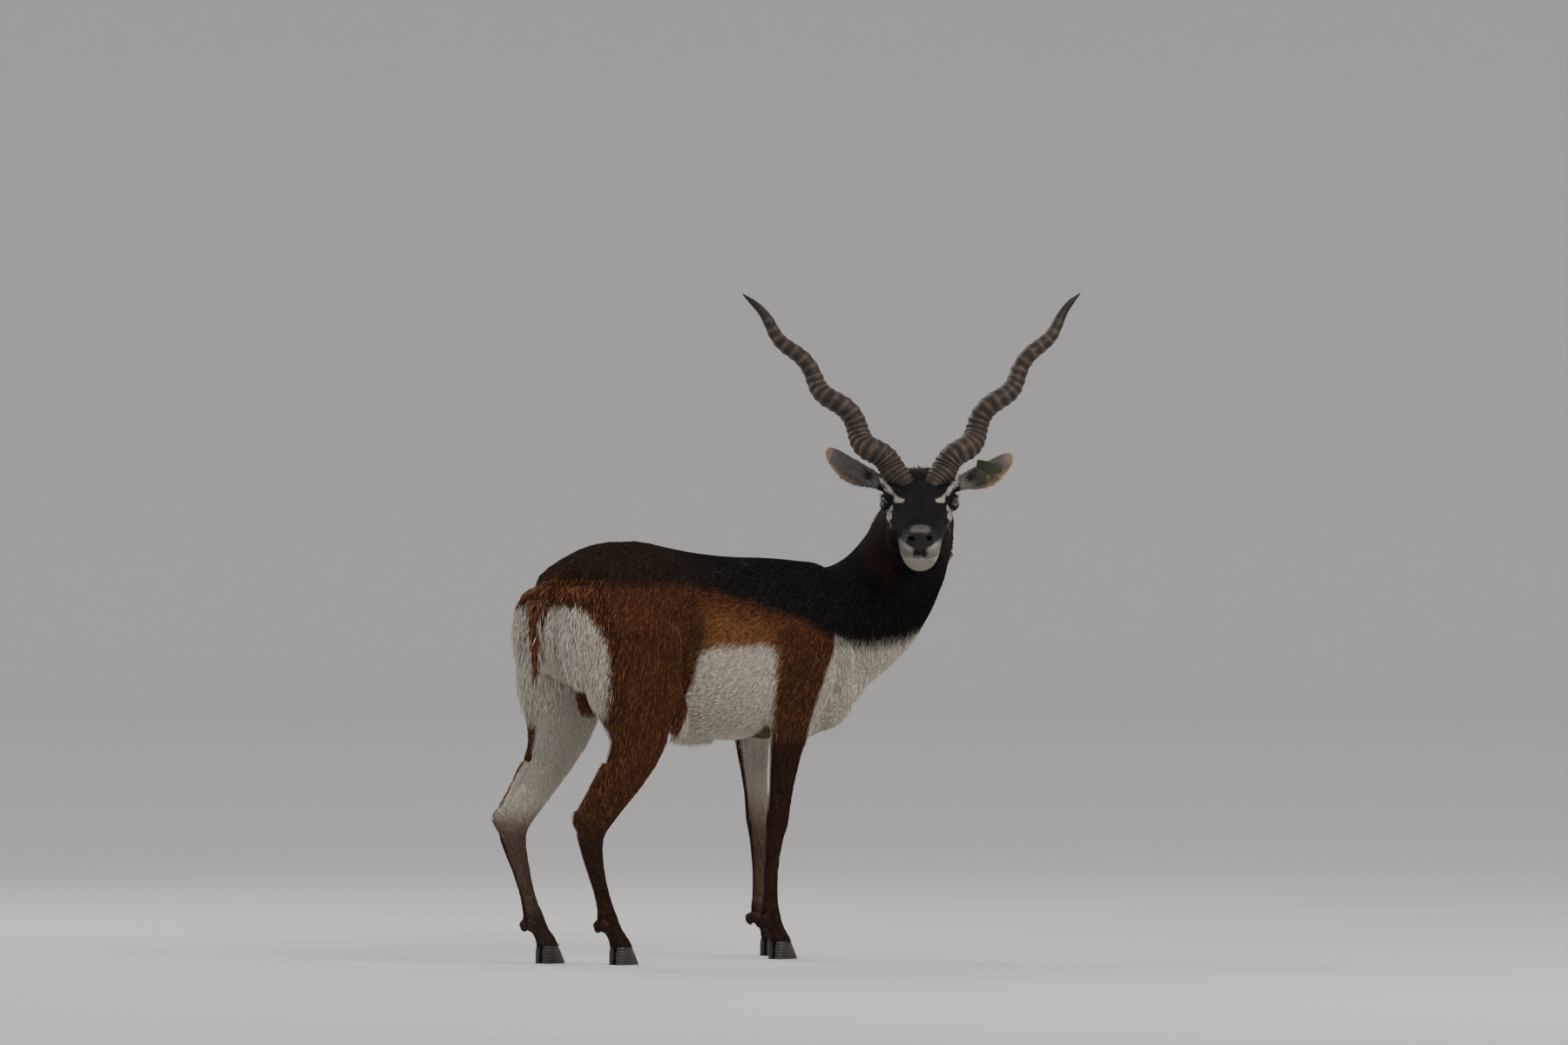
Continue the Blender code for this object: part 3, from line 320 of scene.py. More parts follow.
def lid_shell(name):
    """Both lids as one curved shell round the almond opening, thickest along its edge."""
    around = 56
    angles = 2 * np.pi * np.arange(around) / around
    c, s = np.cos(angles), np.sin(angles)
    opening = np.stack([LID_ALMOND[0] * c, LID_ALMOND[1] * s * (0.72 + 0.28 * np.abs(s))], axis=1)
    start = np.arcsin(np.linalg.norm(opening, axis=1) / EYE_RADIUS)
    way = unit(opening)
    def ring(share, radius):
        polar = start + (np.radians(88) - start) * share
        return np.column_stack([way * np.sin(polar)[:, None], np.cos(polar)]) * radius
    outside = [(0.00, EYE_RADIUS + 0.0010), (0.035, LID_OUTER - 0.0004), (0.09, LID_OUTER + 0.0002),
               (0.18, LID_OUTER - 0.0005), (0.24, LID_OUTER - 0.0009), (0.32, LID_OUTER - 0.0002),
               (0.45, LID_OUTER), (0.7, LID_OUTER - 0.0010),
               (1.0, LID_OUTER - 0.0040)]
    inside = [(1.0, EYE_RADIUS - 0.0060), (0.6, EYE_RADIUS - 0.0010), (0.3, EYE_RADIUS + 0.0002),
              (0.02, EYE_RADIUS + 0.0002)]
    rings = [ring(share, radius) for share, radius in outside + inside]
    rings = np.array(rings) @ np.array(eye_turn(SIDES[name])).T + np.array(eye_centre(name))
    count = len(rings)
    faces = []
    for i in range(count):
        a, b = i * around, ((i + 1) % count) * around
        faces += [(a + j, a + (j + 1) % around, b + (j + 1) % around, b + j) for j in range(around)]
    return rings.reshape(-1, 3), faces


def smooth_points(points, edges, rounds, share=1.0, shrink=0.5, grow=-0.53):
    """Evens out the points of a mesh along its edges, with each shrinking pass undone by a growing one."""
    a, b = edges[:, 0], edges[:, 1]
    degree = np.bincount(edges.ravel(), minlength=len(points)).astype(float)[:, None]
    for _ in range(rounds):
        for step in (shrink, grow):
            total = np.stack([np.bincount(a, weights=points[b, i], minlength=len(points))
                              + np.bincount(b, weights=points[a, i], minlength=len(points))
                              for i in range(3)], axis=1)
            points = points + step * share * (total / degree - points)
    return points


def read_mesh(mesh):
    co = np.empty(len(mesh.vertices) * 3)
    mesh.vertices.foreach_get("co", co)
    edges = np.empty(len(mesh.edges) * 2, np.int64)
    mesh.edges.foreach_get("vertices", edges)
    return co.reshape(-1, 3), edges.reshape(-1, 2)


def read_normals(mesh):
    normals = np.empty(len(mesh.vertices) * 3)
    mesh.vertex_normals.foreach_get("vector", normals)
    return normals.reshape(-1, 3)


def head_share(points):
    """1 on the head and ears, 0 on the trunk and legs."""
    head = to_head(points)
    away = np.linalg.norm((head - (0.0, 0.0, -0.030)) / (1.0, 0.85, 0.85), axis=1)
    return smooth(0.150 - away, -0.012, 0.012)


def trunk_share(points):
    """How far each point belongs to the broad trunk, neck and thighs, whose skin is smoothed most."""
    return smooth(points[:, 2], 0.33, 0.45) * (1 - smooth(head_share(points), 0.0, 0.6))


def back_share(points):
    """1 on the top line from the croup to the withers, where the back is one smooth run."""
    high = smooth(points[:, 2], 0.60, 0.66)
    before_tail = smooth(points[:, 0], -0.50, -0.44)
    return high * before_tail * (1 - smooth(points[:, 0], 0.16, 0.24)) * (1 - head_share(points))


def coat_depth(points):
    """How far the skin lies under the coat's surface."""
    legs = 1 - smooth(points[:, 2], 0.20, 0.46)
    head = head_share(points)
    return 0.0034 * (1 - legs) * (1 - head) + 0.0015 * legs * (1 - head) + 0.0012 * head


def largest_piece(obj):
    """Drops loose scraps and sealed hollows."""
    mesh = obj.data
    _, edges = read_mesh(mesh)
    label = np.arange(len(mesh.vertices))
    while True:
        low = np.minimum(label[edges[:, 0]], label[edges[:, 1]])
        new = label.copy()
        np.minimum.at(new, edges[:, 0], low)
        np.minimum.at(new, edges[:, 1], low)
        new = new[new]
        if (new == label).all():
            break
        label = new
    kept = np.bincount(label).argmax()
    bm = bmesh.new()
    bm.from_mesh(mesh)
    bmesh.ops.delete(bm, geom=[v for v, own in zip(bm.verts, label) if own != kept], context="VERTS")
    bm.to_mesh(mesh)
    bm.free()
    return obj


def fused_skin():
    """One fine closed skin over all the flesh, finest on the head."""
    shapes = [node_shape(node) for node in FLESH] + [tail_shape()] + muzzle_folds()
    points, faces = [], []
    for shape_points, shape_faces in shapes:
        start = sum(len(p) for p in points)
        points.append(shape_points)
        faces += [tuple(start + i for i in face) for face in shape_faces]
    skin = mesh_object("skin", np.vstack(points), faces)
    remesh = skin.modifiers.new("fuse", "REMESH")
    remesh.mode = "VOXEL"
    remesh.voxel_size = SKIN_VOXEL
    bake(skin)
    co, edges = read_mesh(skin.data)
    co = smooth_points(co, edges, HEAD_ROUNDS)
    skin.data.vertices.foreach_set("co", co.ravel())
    fine = np.nonzero(head_share(co) > 0.5)[0]
    group = skin.vertex_groups.new(name="fine")
    group.add(fine.tolist(), 1.0, "REPLACE")
    decimate = skin.modifiers.new("coarser", "DECIMATE")
    decimate.ratio = SKIN_TRIANGLES / (2 * len(skin.data.polygons))
    decimate.vertex_group = group.name
    decimate.invert_vertex_group = True
    decimate.use_collapse_triangulate = True
    bake(skin)
    skin.vertex_groups.clear()
    largest_piece(skin)
    co, edges = read_mesh(skin.data)
    co = smooth_points(co, edges, TRUNK_ROUNDS, trunk_share(co)[:, None], grow=-0.508)
    skin.data.vertices.foreach_set("co", co.ravel())
    skin.data.update()
    co = smooth_points(co, edges, BACK_ROUNDS, back_share(co)[:, None], grow=0.0)
    skin.data.vertices.foreach_set("co", co.ravel())
    skin.data.update()
    co = co - read_normals(skin.data) * coat_depth(co)[:, None]
    skin.data.vertices.foreach_set("co", co.ravel())
    skin.data.update()
    return skin


# Where things are on the body

def midline_points(points):
    """Points with their place across the body measured from its middle, and made positive."""
    across = points[:, 1] - MIDLINE
    return points[:, 0], np.abs(across), points[:, 2], np.sign(across)


def capsule(points, start, end, start_radius, end_radius):
    """Distance inside (negative) or outside a tapering bar."""
    start, end = np.array(start), np.array(end)
    along = end - start
    t = np.clip((points - start) @ along / (along @ along), 0, 1)
    away = np.linalg.norm(points - (start + t[:, None] * along), axis=1)
    return away - (start_radius + (end_radius - start_radius) * t)


def paint(colours, colour, amount):
    """Lays a colour over others by an amount from 0 to 1."""
    return colours + (np.array(colour) - colours) * amount[:, None]


def back_line(x):
    """Height of the edge between the black back and neck and what is below."""
    return np.interp(x, [-0.52, -0.498, -0.458, -0.406, -0.339, -0.265, -0.1925, -0.1376, -0.073,
                         0.0, 0.063, 0.117,
                         0.180, 0.225, 0.275, 0.36],
                     [0.695, 0.686, 0.676, 0.673, 0.673, 0.6715, 0.657, 0.645, 0.627, 0.607, 0.585, 0.566,
                      0.5625, 0.567, 0.572, 0.60])


def flank_line(x):
    """Height of the edge between the tan band and the white belly."""
    return np.interp(x, [-0.30, -0.262, -0.245, -0.21, -0.165, -0.105, -0.088, -0.070, -0.03],
                     [0.530, 0.548, 0.560, 0.572, 0.571, 0.575, 0.570, 0.560, 0.550])


def rump_line(z):
    """How far forward the white of the rump reaches at each height."""
    return np.interp(z, [0.36, 0.40, 0.43, 0.444, 0.474, 0.534, 0.566, 0.591, 0.610, 0.629, 0.6415,
                         0.6525, 0.660],
                     [-0.590, -0.520, -0.480, -0.467, -0.470, -0.4706, -0.471, -0.475, -0.482, -0.492, -0.512,
                      -0.531, -0.560])


def body_colour(points, normals, jitter):
    """The coat's colour on the trunk, neck, legs and tail."""
    x, b, z, side = midline_points(points)
    z = z + jitter
    x = x + jitter
    inward = -normals[:, 1] * side
    thigh_front = np.interp(z, [0.40, 0.506, 0.569, 0.60], [-0.295, -0.253, -0.245, -0.24])
    shoulder_back = np.interp(z, [0.411, 0.474, 0.521, 0.58], [-0.054, -0.061, -0.070, -0.077])
    shoulder_front = np.interp(z, [0.427, 0.474, 0.521, 0.569], [0.0066, 0.0254, 0.0497, 0.0815])
    colours = np.tile(np.array(TAN), (len(points), 1))
    flank = smooth(x - thigh_front, -0.01, 0.03) * smooth(shoulder_back - x, -0.02, 0.03)
    colours = paint(colours, GOLD, flank * smooth(back_line(x) - z, 0.0, 0.06) * 0.75)
    # Painted shade: the upper front of the thigh is darkened next to the flank, at the fold where shadow
    # falls
    shade = smooth(thigh_front - x, 0.09, 0.0) * smooth(z, 0.46, 0.56) * smooth(thigh_front - x, -0.01, 0.01)
    colours = paint(colours, DARK_BROWN, 0.60 * shade)
    shoulder = 0.45 * smooth(x - shoulder_back, 0.0, 0.05) * smooth(0.62 - z, 0.0, 0.1)
    colours = paint(colours, DARK_BROWN, shoulder)
    belly = (smooth(x - thigh_front, -0.005, 0.006) * smooth(shoulder_back - x, -0.006, 0.006)
             * smooth(flank_line(x) - z, -0.006, 0.012) * smooth(z, 0.375, 0.385))
    breast = smooth(x - shoulder_front, -0.005, 0.006) * smooth(z, 0.375, 0.385)
    under = smooth(-normals[:, 2], 0.45, 0.75) * smooth(z, 0.370, 0.385)
    groin = smooth(-0.20 - x, 0.0, 0.04) * smooth(z, 0.36, 0.40) * smooth(0.60 - z, 0.0, 0.04)
    groin = groin * smooth(inward, 0.15, 0.45)
    colours = paint(colours, WHITE, np.max([belly, breast, under, groin], axis=0))
    white_rump = smooth(rump_line(z) - x, -0.005, 0.006) * smooth(z, 0.36, 0.40)
    colours = paint(colours, WHITE, white_rump * (1 - smooth(z, 0.648, 0.660)))
    dark = smooth(z - back_line(x), -0.010, 0.022)
    back = np.array(BLACK) + (np.array(CROUP) - BLACK) * smooth(-0.18 - x, -0.06, 0.16)[:, None]
    colours = colours + (back - colours) * dark[:, None]
    on_leg = (x < thigh_front) | ((x > shoulder_back) & (x < shoulder_front))
    return leg_colour(colours, x, z, inward, on_leg)


def leg_colour(colours, x, z, inward, on_leg):
    """Dark outer legs, white inner legs and brown pasterns laid over the body's colours."""
    hind = x < -0.25
    leg = smooth(0.47 - z, 0.0, 0.08) * np.where(on_leg | (z < 0.388), 1, 0)
    inner = smooth(inward, 0.05, 0.45)
    fall = np.where(hind, smooth(0.36 - z, 0.0, 0.16), smooth(0.47 - z, 0.0, 0.10))
    outer = np.array(TAN) + (np.array(DARK_BROWN) - TAN) * fall[:, None]
    colours = colours + (outer - colours) * (leg * (1 - inner))[:, None]
    # The fore legs' inner white is kept dimmer than the hind legs': painted shade on them
    rising = np.where(hind, 0.22 + 0.78 * smooth(z, 0.22, 0.30), 0.20 + 0.65 * smooth(z, 0.20, 0.34))
    colours = paint(colours, WHITE, leg * inner * rising)
    below_hock = leg * inner * np.where(hind, 1 - smooth(z, 0.22, 0.29), 1 - smooth(z, 0.18, 0.30))
    colours = paint(colours, SHANK_BROWN, 0.7 * below_hock)
    feet = smooth(0.110 - z, 0.0, 0.03)
    return paint(colours, DARK_BROWN, feet * (1 - 0.3 * inner))


def tail_colour(colours, points, normals):
    """Brown down the outer face of the tail, white on its sides and below."""
    path = catmull_rom(TAIL_CORE, 4)[:, :3]
    away = np.sqrt(((points[:, None] - path[None]) ** 2).sum(-1)).min(1)
    on_tail = smooth(0.019 - away, 0.0, 0.005) * smooth(-0.525 - points[:, 0], 0.0, 0.008)
    outer = smooth(-normals[:, 0] + 0.6 * normals[:, 2], 0.25, 0.55)
    colours = paint(colours, WHITE, on_tail)
    return paint(colours, TAIL_BROWN, on_tail * outer)


def face_colour(points, jitter):
    """The dark mask, white eye rings, lips and chin, and a painted sky reflection on the top of the nose."""
    head = to_head(points)
    f, l, u = head[:, 0], np.abs(head[:, 1]), head[:, 2]
    half = np.stack([f, l, u], axis=1) + jitter[:, None] * 0.45
    colours = np.tile(np.array(BLACK), (len(points), 1))
    brown = smooth(l, 0.030, 0.060) * smooth(0.06 - f, -0.02, 0.05) * smooth(-u, 0.0, 0.03)
    colours = paint(colours, (0.050, 0.025, 0.015), brown * 0.8)
    crown = smooth(u, 0.036, 0.052) * smooth(0.02 - f, -0.01, 0.03)
    colours = paint(colours, (0.036, 0.027, 0.022), crown)
    side = smooth(f, 0.070, 0.105) * smooth(-0.046 - u, -0.003, 0.008)
    side = side * smooth(u, -0.074, -0.069) * smooth(l, 0.009, 0.017)
    colours = paint(colours, GREY_WHITE, side * 0.95)
    chin = smooth(-0.0695 - u, 0.0, 0.003) * smooth(f, 0.045, 0.080) * smooth(0.040 - l, -0.004, 0.006)
    colours = paint(colours, WHITE, chin * smooth(u, -0.122, -0.108))
    # Painted reflection: a grey spot on the top of the nose stands for the sky reflected there
    patch = np.sqrt(((f - 0.130) / 0.019) ** 2 + (l / 0.0220) ** 2 + ((u + 0.0235) / 0.0075) ** 2)
    colours = paint(colours, NOSE_TOP_SKY_REFLECTION, smooth(1.15 - patch, 0.0, 0.4))
    white = [
        capsule(half, (0.010, 0.058, 0.0260), (-0.048, 0.067, 0.026), 0.0072, 0.0060),
        capsule(half, (0.010, 0.058, 0.0260), (0.038, 0.0430, 0.0120), 0.0068, 0.0062),
        capsule(half, (0.038, 0.043, 0.0120), (0.058, 0.0310, 0.0140), 0.0064, 0.0042),
        capsule(half, (0.030, 0.052, -0.0070), (0.012, 0.058, -0.0290), 0.0075, 0.0115),
        capsule(half, (0.012, 0.058, -0.0290), (-0.020, 0.062, -0.0600), 0.0115, 0.0050),
        capsule(half, (0.028, 0.050, -0.0220), (0.022, 0.052, -0.0480), 0.0070, 0.0035),
        capsule(half, (-0.020, 0.058, 0.0120), (-0.028, 0.060, -0.0140), 0.0060, 0.0075),
        capsule(half, (-0.028, 0.060, -0.0140), (0.000, 0.058, -0.0280), 0.0075, 0.0080),
    ]
    ring = np.min(white, axis=0)
    colours = paint(colours, WHITE, smooth(-ring, -0.0015, 0.0020))
    gland = capsule(half, (0.0320, 0.0520, -0.0120), (0.0520, 0.0480, -0.0240), 0.0035, 0.0028)
    colours = paint(colours, LID_BLACK, smooth(-gland, -0.001, 0.001))
    eye = np.linalg.norm((half - (0.006, 0.060, 0.0)) / (1.0, 1.0, 0.85), axis=1)
    return paint(colours, LID_BLACK, smooth(0.0175 - eye, -0.001, 0.002))


def bare_share(points):
    """1 where the skin is bare and black: the nose pad, the lids' edges and the line of the mouth."""
    head = to_head(points)
    f, l, u = head[:, 0], np.abs(head[:, 1]), head[:, 2]
    pad = np.sqrt((l / 0.0265) ** 2 + ((u + 0.0420) / 0.0145) ** 2)
    nose = smooth(1.10 - pad, 0.0, 0.10) * smooth(f, 0.112, 0.120)
    cleft = smooth(0.0034 - l, 0.0, 0.0015) * smooth(-0.045 - u, 0.0, 0.004) * smooth(u, -0.068, -0.064)
    nose = np.maximum(nose, cleft * smooth(f, 0.110, 0.118))
    above_mouth = u + 0.0705 + 0.004 * smooth(f, 0.07, 0.14)
    mouth = smooth(0.0016 - np.abs(above_mouth), 0.0, 0.001) * smooth(f, 0.055, 0.075)
    bare = np.maximum(nose, mouth)
    for name, side in SIDES.items():
        local = (points - np.array(eye_centre(name))) @ np.array(eye_turn(side))
        away = np.linalg.norm(local, axis=1)
        rim = np.hypot(local[:, 0] / LID_ALMOND[0], local[:, 1] / LID_ALMOND[1])
        edge = smooth(1.22 - rim, 0.0, 0.08) * (local[:, 2] > 0) * (away < LID_OUTER + 0.003)
        inside = (away < EYE_RADIUS + 0.0010) & (local[:, 2] > -0.004)
        bare = np.maximum(bare, np.maximum(edge, inside))
    return bare


def ear_axes(name):
    """The ear's root, and its axes along, upwards across and out of the hollow, with its length."""
    level = level_turn()
    side = SIDES[name]
    root = EYE_LEVEL + level @ Vector((EAR_ROOT.x, side * EAR_ROOT.y, EAR_ROOT.z))
    reach = EYE_LEVEL + level @ EAR_TIPS[name] - root
    along = reach.normalized()
    front = level @ Vector((0.96, side * 0.28, 0.0))
    front = (front - along * front.dot(along)).normalized()
    upper = along.cross(front)
    if upper.z < 0:
        upper = -upper
    return np.array(root), np.array(along), np.array(upper), np.array(front), reach.length


# Share of the ear's length, half width, depth of the back, depth of the hollow, lift towards the upper edge
EAR_STATIONS = [
    (-0.14, 0.0105, 0.0100, -0.0095, 0.0),
    (0.00, 0.0125, 0.0120, -0.0110, 0.0),
    (0.12, 0.0125, 0.0125, -0.0110, 0.0),
    (0.24, 0.0145, 0.0140, -0.0030, -0.001),
    (0.34, 0.0178, 0.0145, 0.0060, -0.003),
    (0.46, 0.0208, 0.0135, 0.0098, -0.005),
    (0.58, 0.0222, 0.0115, 0.0084, -0.006),
    (0.70, 0.0205, 0.0092, 0.0064, -0.005),
    (0.82, 0.0178, 0.0068, 0.0044, -0.003),
    (0.92, 0.0134, 0.0044, 0.0026, -0.001),
    (0.97, 0.0090, 0.0030, 0.0014, 0.0005),
    (0.995, 0.0040, 0.0018, 0.0008, 0.001),
]


def ear_shape(name):
    """A fine cupped leaf with a rolled rim, its hollow to the front."""
    root, along, upper, front, length = ear_axes(name)
    rows = catmull_rom(EAR_STATIONS, 5)
    arc = 22
    rings = []
    for share, half, deep, hollow, lift in rows:
        middle = root + along * (length * share) + upper * lift * 1.4
        half, deep = half - 0.0005, deep - 0.0005
        outer = [middle + upper * half * math.cos(a) - front * deep * math.sin(a)
                 for a in np.pi * np.arange(arc + 1) / arc]
        wrinkle = 0.0004 * math.sin(70 * share)
        inner = [middle + upper * half * 0.90 * math.cos(a) - front * (hollow + wrinkle) * math.sin(a)
                 for a in np.pi * np.arange(arc - 1, 0, -1) / arc]
        rings.append(outer + inner)
    return closed_rings(rings)


def ear_colour(name, points, normals, jitter):
    """Grey-white with dark lines inside and painted shade deep in the hollow, brown behind, cream along the
    rim.
    """
    root, along, upper, front, length = ear_axes(name)
    offset = points - root
    share, across = offset @ along / length, offset @ upper
    half = np.interp(share, [s[0] for s in EAR_STATIONS], [s[1] for s in EAR_STATIONS])
    inside = smooth(normals @ front, -0.05, 0.30)
    colours = np.tile(np.array((0.070, 0.050, 0.038)), (len(points), 1))
    colours = paint(colours, EAR_GREY, inside)
    lines = smooth(np.abs(np.sin((across / half) * 7.5 + share * 2.0)), 0.25, 0.05)
    lines = lines * smooth(share, 0.30, 0.45)
    colours = paint(colours, (0.070, 0.060, 0.055), inside * lines * 0.6 * smooth(0.92 - share, 0.0, 0.1))
    # Painted shade deep in the hollow of the ear, near its root
    deep = smooth(0.55 - np.abs(across / half), 0.0, 0.3) * smooth(0.50 - share, 0.0, 0.15)
    deep = deep * smooth(share, 0.26, 0.34)
    colours = paint(colours, (0.045, 0.035, 0.032), inside * deep)
    rim = smooth(np.abs(across + jitter * 0.3) / np.maximum(half, 0.002), 0.86, 1.0)
    rim = rim * smooth(share, 0.35, 0.5)
    tip = smooth(share, 0.86, 0.96)
    return paint(colours, CREAM, np.maximum(rim * 0.75, tip * 0.8))


def ear_of(points):
    """Which ear each point is on: 1 left, -1 right, 0 neither."""
    found = np.zeros(len(points))
    for name, side in SIDES.items():
        root, along, _, _, length = ear_axes(name)
        offset = points - root
        share = offset @ along / length
        away = np.linalg.norm(offset - (offset @ along)[:, None] * along, axis=1)
        found[(share > 0.16) & (share < 1.1) & (away < 0.034)] = side
    return found


def coat_colour(points, normals, jitter=None):
    """The markings, the same for the skin and for the coat."""
    jitter = np.zeros(len(points)) if jitter is None else jitter
    colours = body_colour(points, normals, jitter)
    colours = tail_colour(colours, points, normals)
    face = face_colour(points, jitter)
    share = head_share(points)[:, None]
    colours = colours + (face - colours) * share
    ear = ear_of(points)
    for name, side in SIDES.items():
        on = ear == side
        if on.any():
            colours[on] = ear_colour(name, points[on], normals[on], jitter[on])
    return colours


# Which way the hair lies: a place on the left half of the body, and the direction there
LIE = [
    ((-0.50, 0.03, 0.70), (-0.6, 0.3, -1.0)), ((-0.40, 0.02, 0.77), (-1.0, 0.1, -0.2)),
    ((-0.40, 0.10, 0.66), (-0.7, 0.0, -1.0)), ((-0.45, 0.09, 0.55), (-0.4, 0.0, -1.0)),
    ((-0.54, 0.05, 0.58), (-0.2, 0.1, -1.0)), ((-0.52, 0.03, 0.50), (-0.1, -0.1, -1.0)),
    ((-0.30, 0.10, 0.60), (-0.7, 0.0, -0.9)), ((-0.33, 0.09, 0.48), (-0.3, 0.0, -1.0)),
    ((-0.20, 0.11, 0.66), (-1.0, 0.0, -0.35)), ((-0.15, 0.02, 0.75), (-1.0, 0.1, -0.1)),
    ((-0.18, 0.10, 0.52), (-1.0, 0.0, -0.45)), ((-0.20, 0.03, 0.42), (-1.0, -0.1, 0.1)),
    ((0.00, 0.10, 0.64), (-1.0, 0.0, -0.55)), ((0.00, 0.02, 0.745), (-1.0, 0.1, -0.1)),
    ((-0.02, 0.10, 0.50), (-0.6, 0.0, -0.9)), ((0.06, 0.09, 0.58), (-0.7, 0.0, -1.0)),
    ((0.03, 0.09, 0.45), (-0.2, 0.0, -1.0)), ((0.10, 0.08, 0.66), (-1.0, 0.1, -0.6)),
    ((0.16, 0.06, 0.56), (-0.4, 0.1, -1.0)), ((0.10, 0.03, 0.43), (-0.9, 0.1, -0.4)),
    ((0.22, 0.03, 0.50), (-0.7, 0.0, -0.9)), ((0.20, 0.09, 0.66), (-0.7, 0.2, -0.9)),
    ((0.28, 0.05, 0.62), (-0.3, 0.2, -1.0)), ((0.26, 0.02, 0.76), (-0.5, 0.1, -1.0)),
    ((0.36, 0.02, 0.70), (-0.1, 0.2, -1.0)), ((0.36, -0.05, 0.78), (0.1, 0.2, -1.0)),
]


def lie_of_hair(points):
    """The direction that the hair points at each place."""
    places = np.array([p for p, _ in LIE])
    ways = unit(np.array([w for _, w in LIE]))
    x, b, z, side = midline_points(points)
    folded = np.stack([x, b, z], axis=1)
    away = ((folded[:, None] - places[None]) ** 2).sum(-1) + 1e-5
    weights = away ** -2.0
    flow = (weights[..., None] * ways[None]).sum(1) / weights.sum(1)[:, None]
    flow[:, 1] *= side
    legs = smooth(0.46 - z, 0.0, 0.08)[:, None]
    flow = flow * (1 - legs) + np.array([-0.10, 0.0, -1.0]) * legs
    head = to_head(points)
    out = np.sign(head[:, 1]) * smooth(np.abs(head[:, 1]), 0.004, 0.05)
    down = -0.15 - 1.2 * smooth(-head[:, 2], 0.02, 0.09)
    in_head = np.stack([np.full(len(points), -1.0), 0.35 * out, down], axis=1)
    in_head[:, 2] += 0.9 * smooth(head[:, 2], 0.015, 0.05)
    share = head_share(points)[:, None]
    flow = flow * (1 - share) + (unit(in_head) @ np.array(head_turn()).T) * share
    for name in SIDES:
        near = at_horn_root(points, name)[:, None]
        flow = flow * (1 - near) + horn_frame(name)[1] * near
    ear = ear_of(points)
    for name, own in SIDES.items():
        _, along, upper, _, _ = ear_axes(name)
        offset = points - ear_axes(name)[0]
        fan = np.clip((offset @ upper) / 0.022, -1, 1)[:, None]
        flow[ear == own] = (along + 0.5 * fan * upper)[ear == own]
    return unit(flow)


# The coat

def mesh_triangles(mesh):
    mesh.calc_loop_triangles()
    corners = np.empty(len(mesh.loop_triangles) * 3, np.int64)
    mesh.loop_triangles.foreach_get("vertices", corners)
    return corners.reshape(-1, 3)


def unwrap_tiles(points, normals):
    """A place on a flat unwrap for each point: one tile for each part of the body and way that it faces."""
    x, b, z, side = midline_points(points)
    part = np.zeros(len(points), int)
    part[z < 0.44] = np.where(x < -0.25, 1, 2)[z < 0.44] + np.where(side > 0, 2, 0)[z < 0.44]
    part[head_share(points) > 0.5] = 5
    facing = np.abs(normals).argmax(1)
    facing = facing * 2 + (np.take_along_axis(normals, facing[:, None], 1)[:, 0] > 0)
    flat = np.empty((len(points), 2))
    for axis in range(3):
        on = facing // 2 == axis
        flat[on] = np.delete(points[on], axis, axis=1)
    tile = part * 6 + facing
    uv = np.zeros((len(points), 2))
    left, low, row = 0.01, 0.01, 0.0
    tiles = sorted(np.unique(tile), key=lambda t: -np.ptp(flat[tile == t][:, 1]))
    for t in tiles:
        on = tile == t
        size = np.ptp(flat[on], axis=0) * UV_SCALE
        if left + size[0] > 0.99:
            left, low, row = 0.01, low + row + 0.01, 0.0
        uv[on] = (flat[on] - flat[on].min(0)) * UV_SCALE + (left, low)
        left, row = left + size[0] + 0.01, max(row, size[1])
    return uv


def sample(skin, weights, count, draw):
    """Places spread evenly over the skin where weights are high: points, normals."""
    points, _ = read_mesh(skin.data)
    normals = read_normals(skin.data)
    corners = mesh_triangles(skin.data)
    a, b, c = points[corners[:, 0]], points[corners[:, 1]], points[corners[:, 2]]
    area = np.linalg.norm(np.cross(b - a, c - a), axis=1) / 2
    total = np.cumsum(area * weights[corners].mean(1))
    spots = (np.arange(count) + draw.random(count)) / count * total[-1]
    own = np.minimum(np.searchsorted(total, spots), len(corners) - 1)
    u, v = draw.random(count), draw.random(count)
    over = u + v > 1
    u[over], v[over] = 1 - u[over], 1 - v[over]
    share = np.stack([1 - u - v, u, v], axis=1)[..., None]
    return (points[corners[own]] * share).sum(1), unit((normals[corners[own]] * share).sum(1))


def lay_flat(ways, normals, turn):
    """The ways made to run along the skin and turned a little about the normals."""
    flat = unit(ways - normals * (ways * normals).sum(1)[:, None])
    side = np.cross(normals, flat)
    return flat * np.cos(turn)[:, None] + side * np.sin(turn)[:, None]


def short_tufts(roots, normals, ways, length, width, lift):
    """Four-sided tufts that lie on the skin: points, faces, share of the way to the tip."""
    side = np.cross(normals, ways)
    n, w = normals, width[:, None]
    base = roots - n * w * 0.25
    points = np.stack([base + side * w / 2, base - side * w / 2, base + n * w * 0.50,
                       roots + ways * length[:, None] + n * lift[:, None]], axis=1)
    faces = np.array([(0, 1, 2), (0, 3, 1), (0, 2, 3), (1, 3, 2)])
    return points, faces, np.array([0.0, 0.0, 0.1, 1.0])


def long_tufts(roots, normals, ways, length, width, lift, bend):
    """Tufts bent once on their way, that end along the way given in bend."""
    side = np.cross(normals, ways)
    n, w, half = normals, width[:, None], (length / 2)[:, None]
    base = roots - n * w * 0.25
    middle = roots + ways * half + n * lift[:, None]
    tip = middle + unit(ways + bend) * half
    points = np.stack([base + side * w / 2, base - side * w / 2, base + n * w * 0.50,
                       middle + side * w * 0.45, middle - side * w * 0.45,
                       middle + n * w * 0.40, tip], axis=1)
    faces = np.array([(0, 1, 2), (0, 2, 5), (0, 5, 3), (2, 1, 4), (2, 4, 5), (1, 0, 3), (1, 3, 4),
                      (3, 5, 6), (5, 4, 6), (4, 3, 6)])
    return points, faces, np.array([0.0, 0.0, 0.1, 0.55, 0.55, 0.6, 1.0])


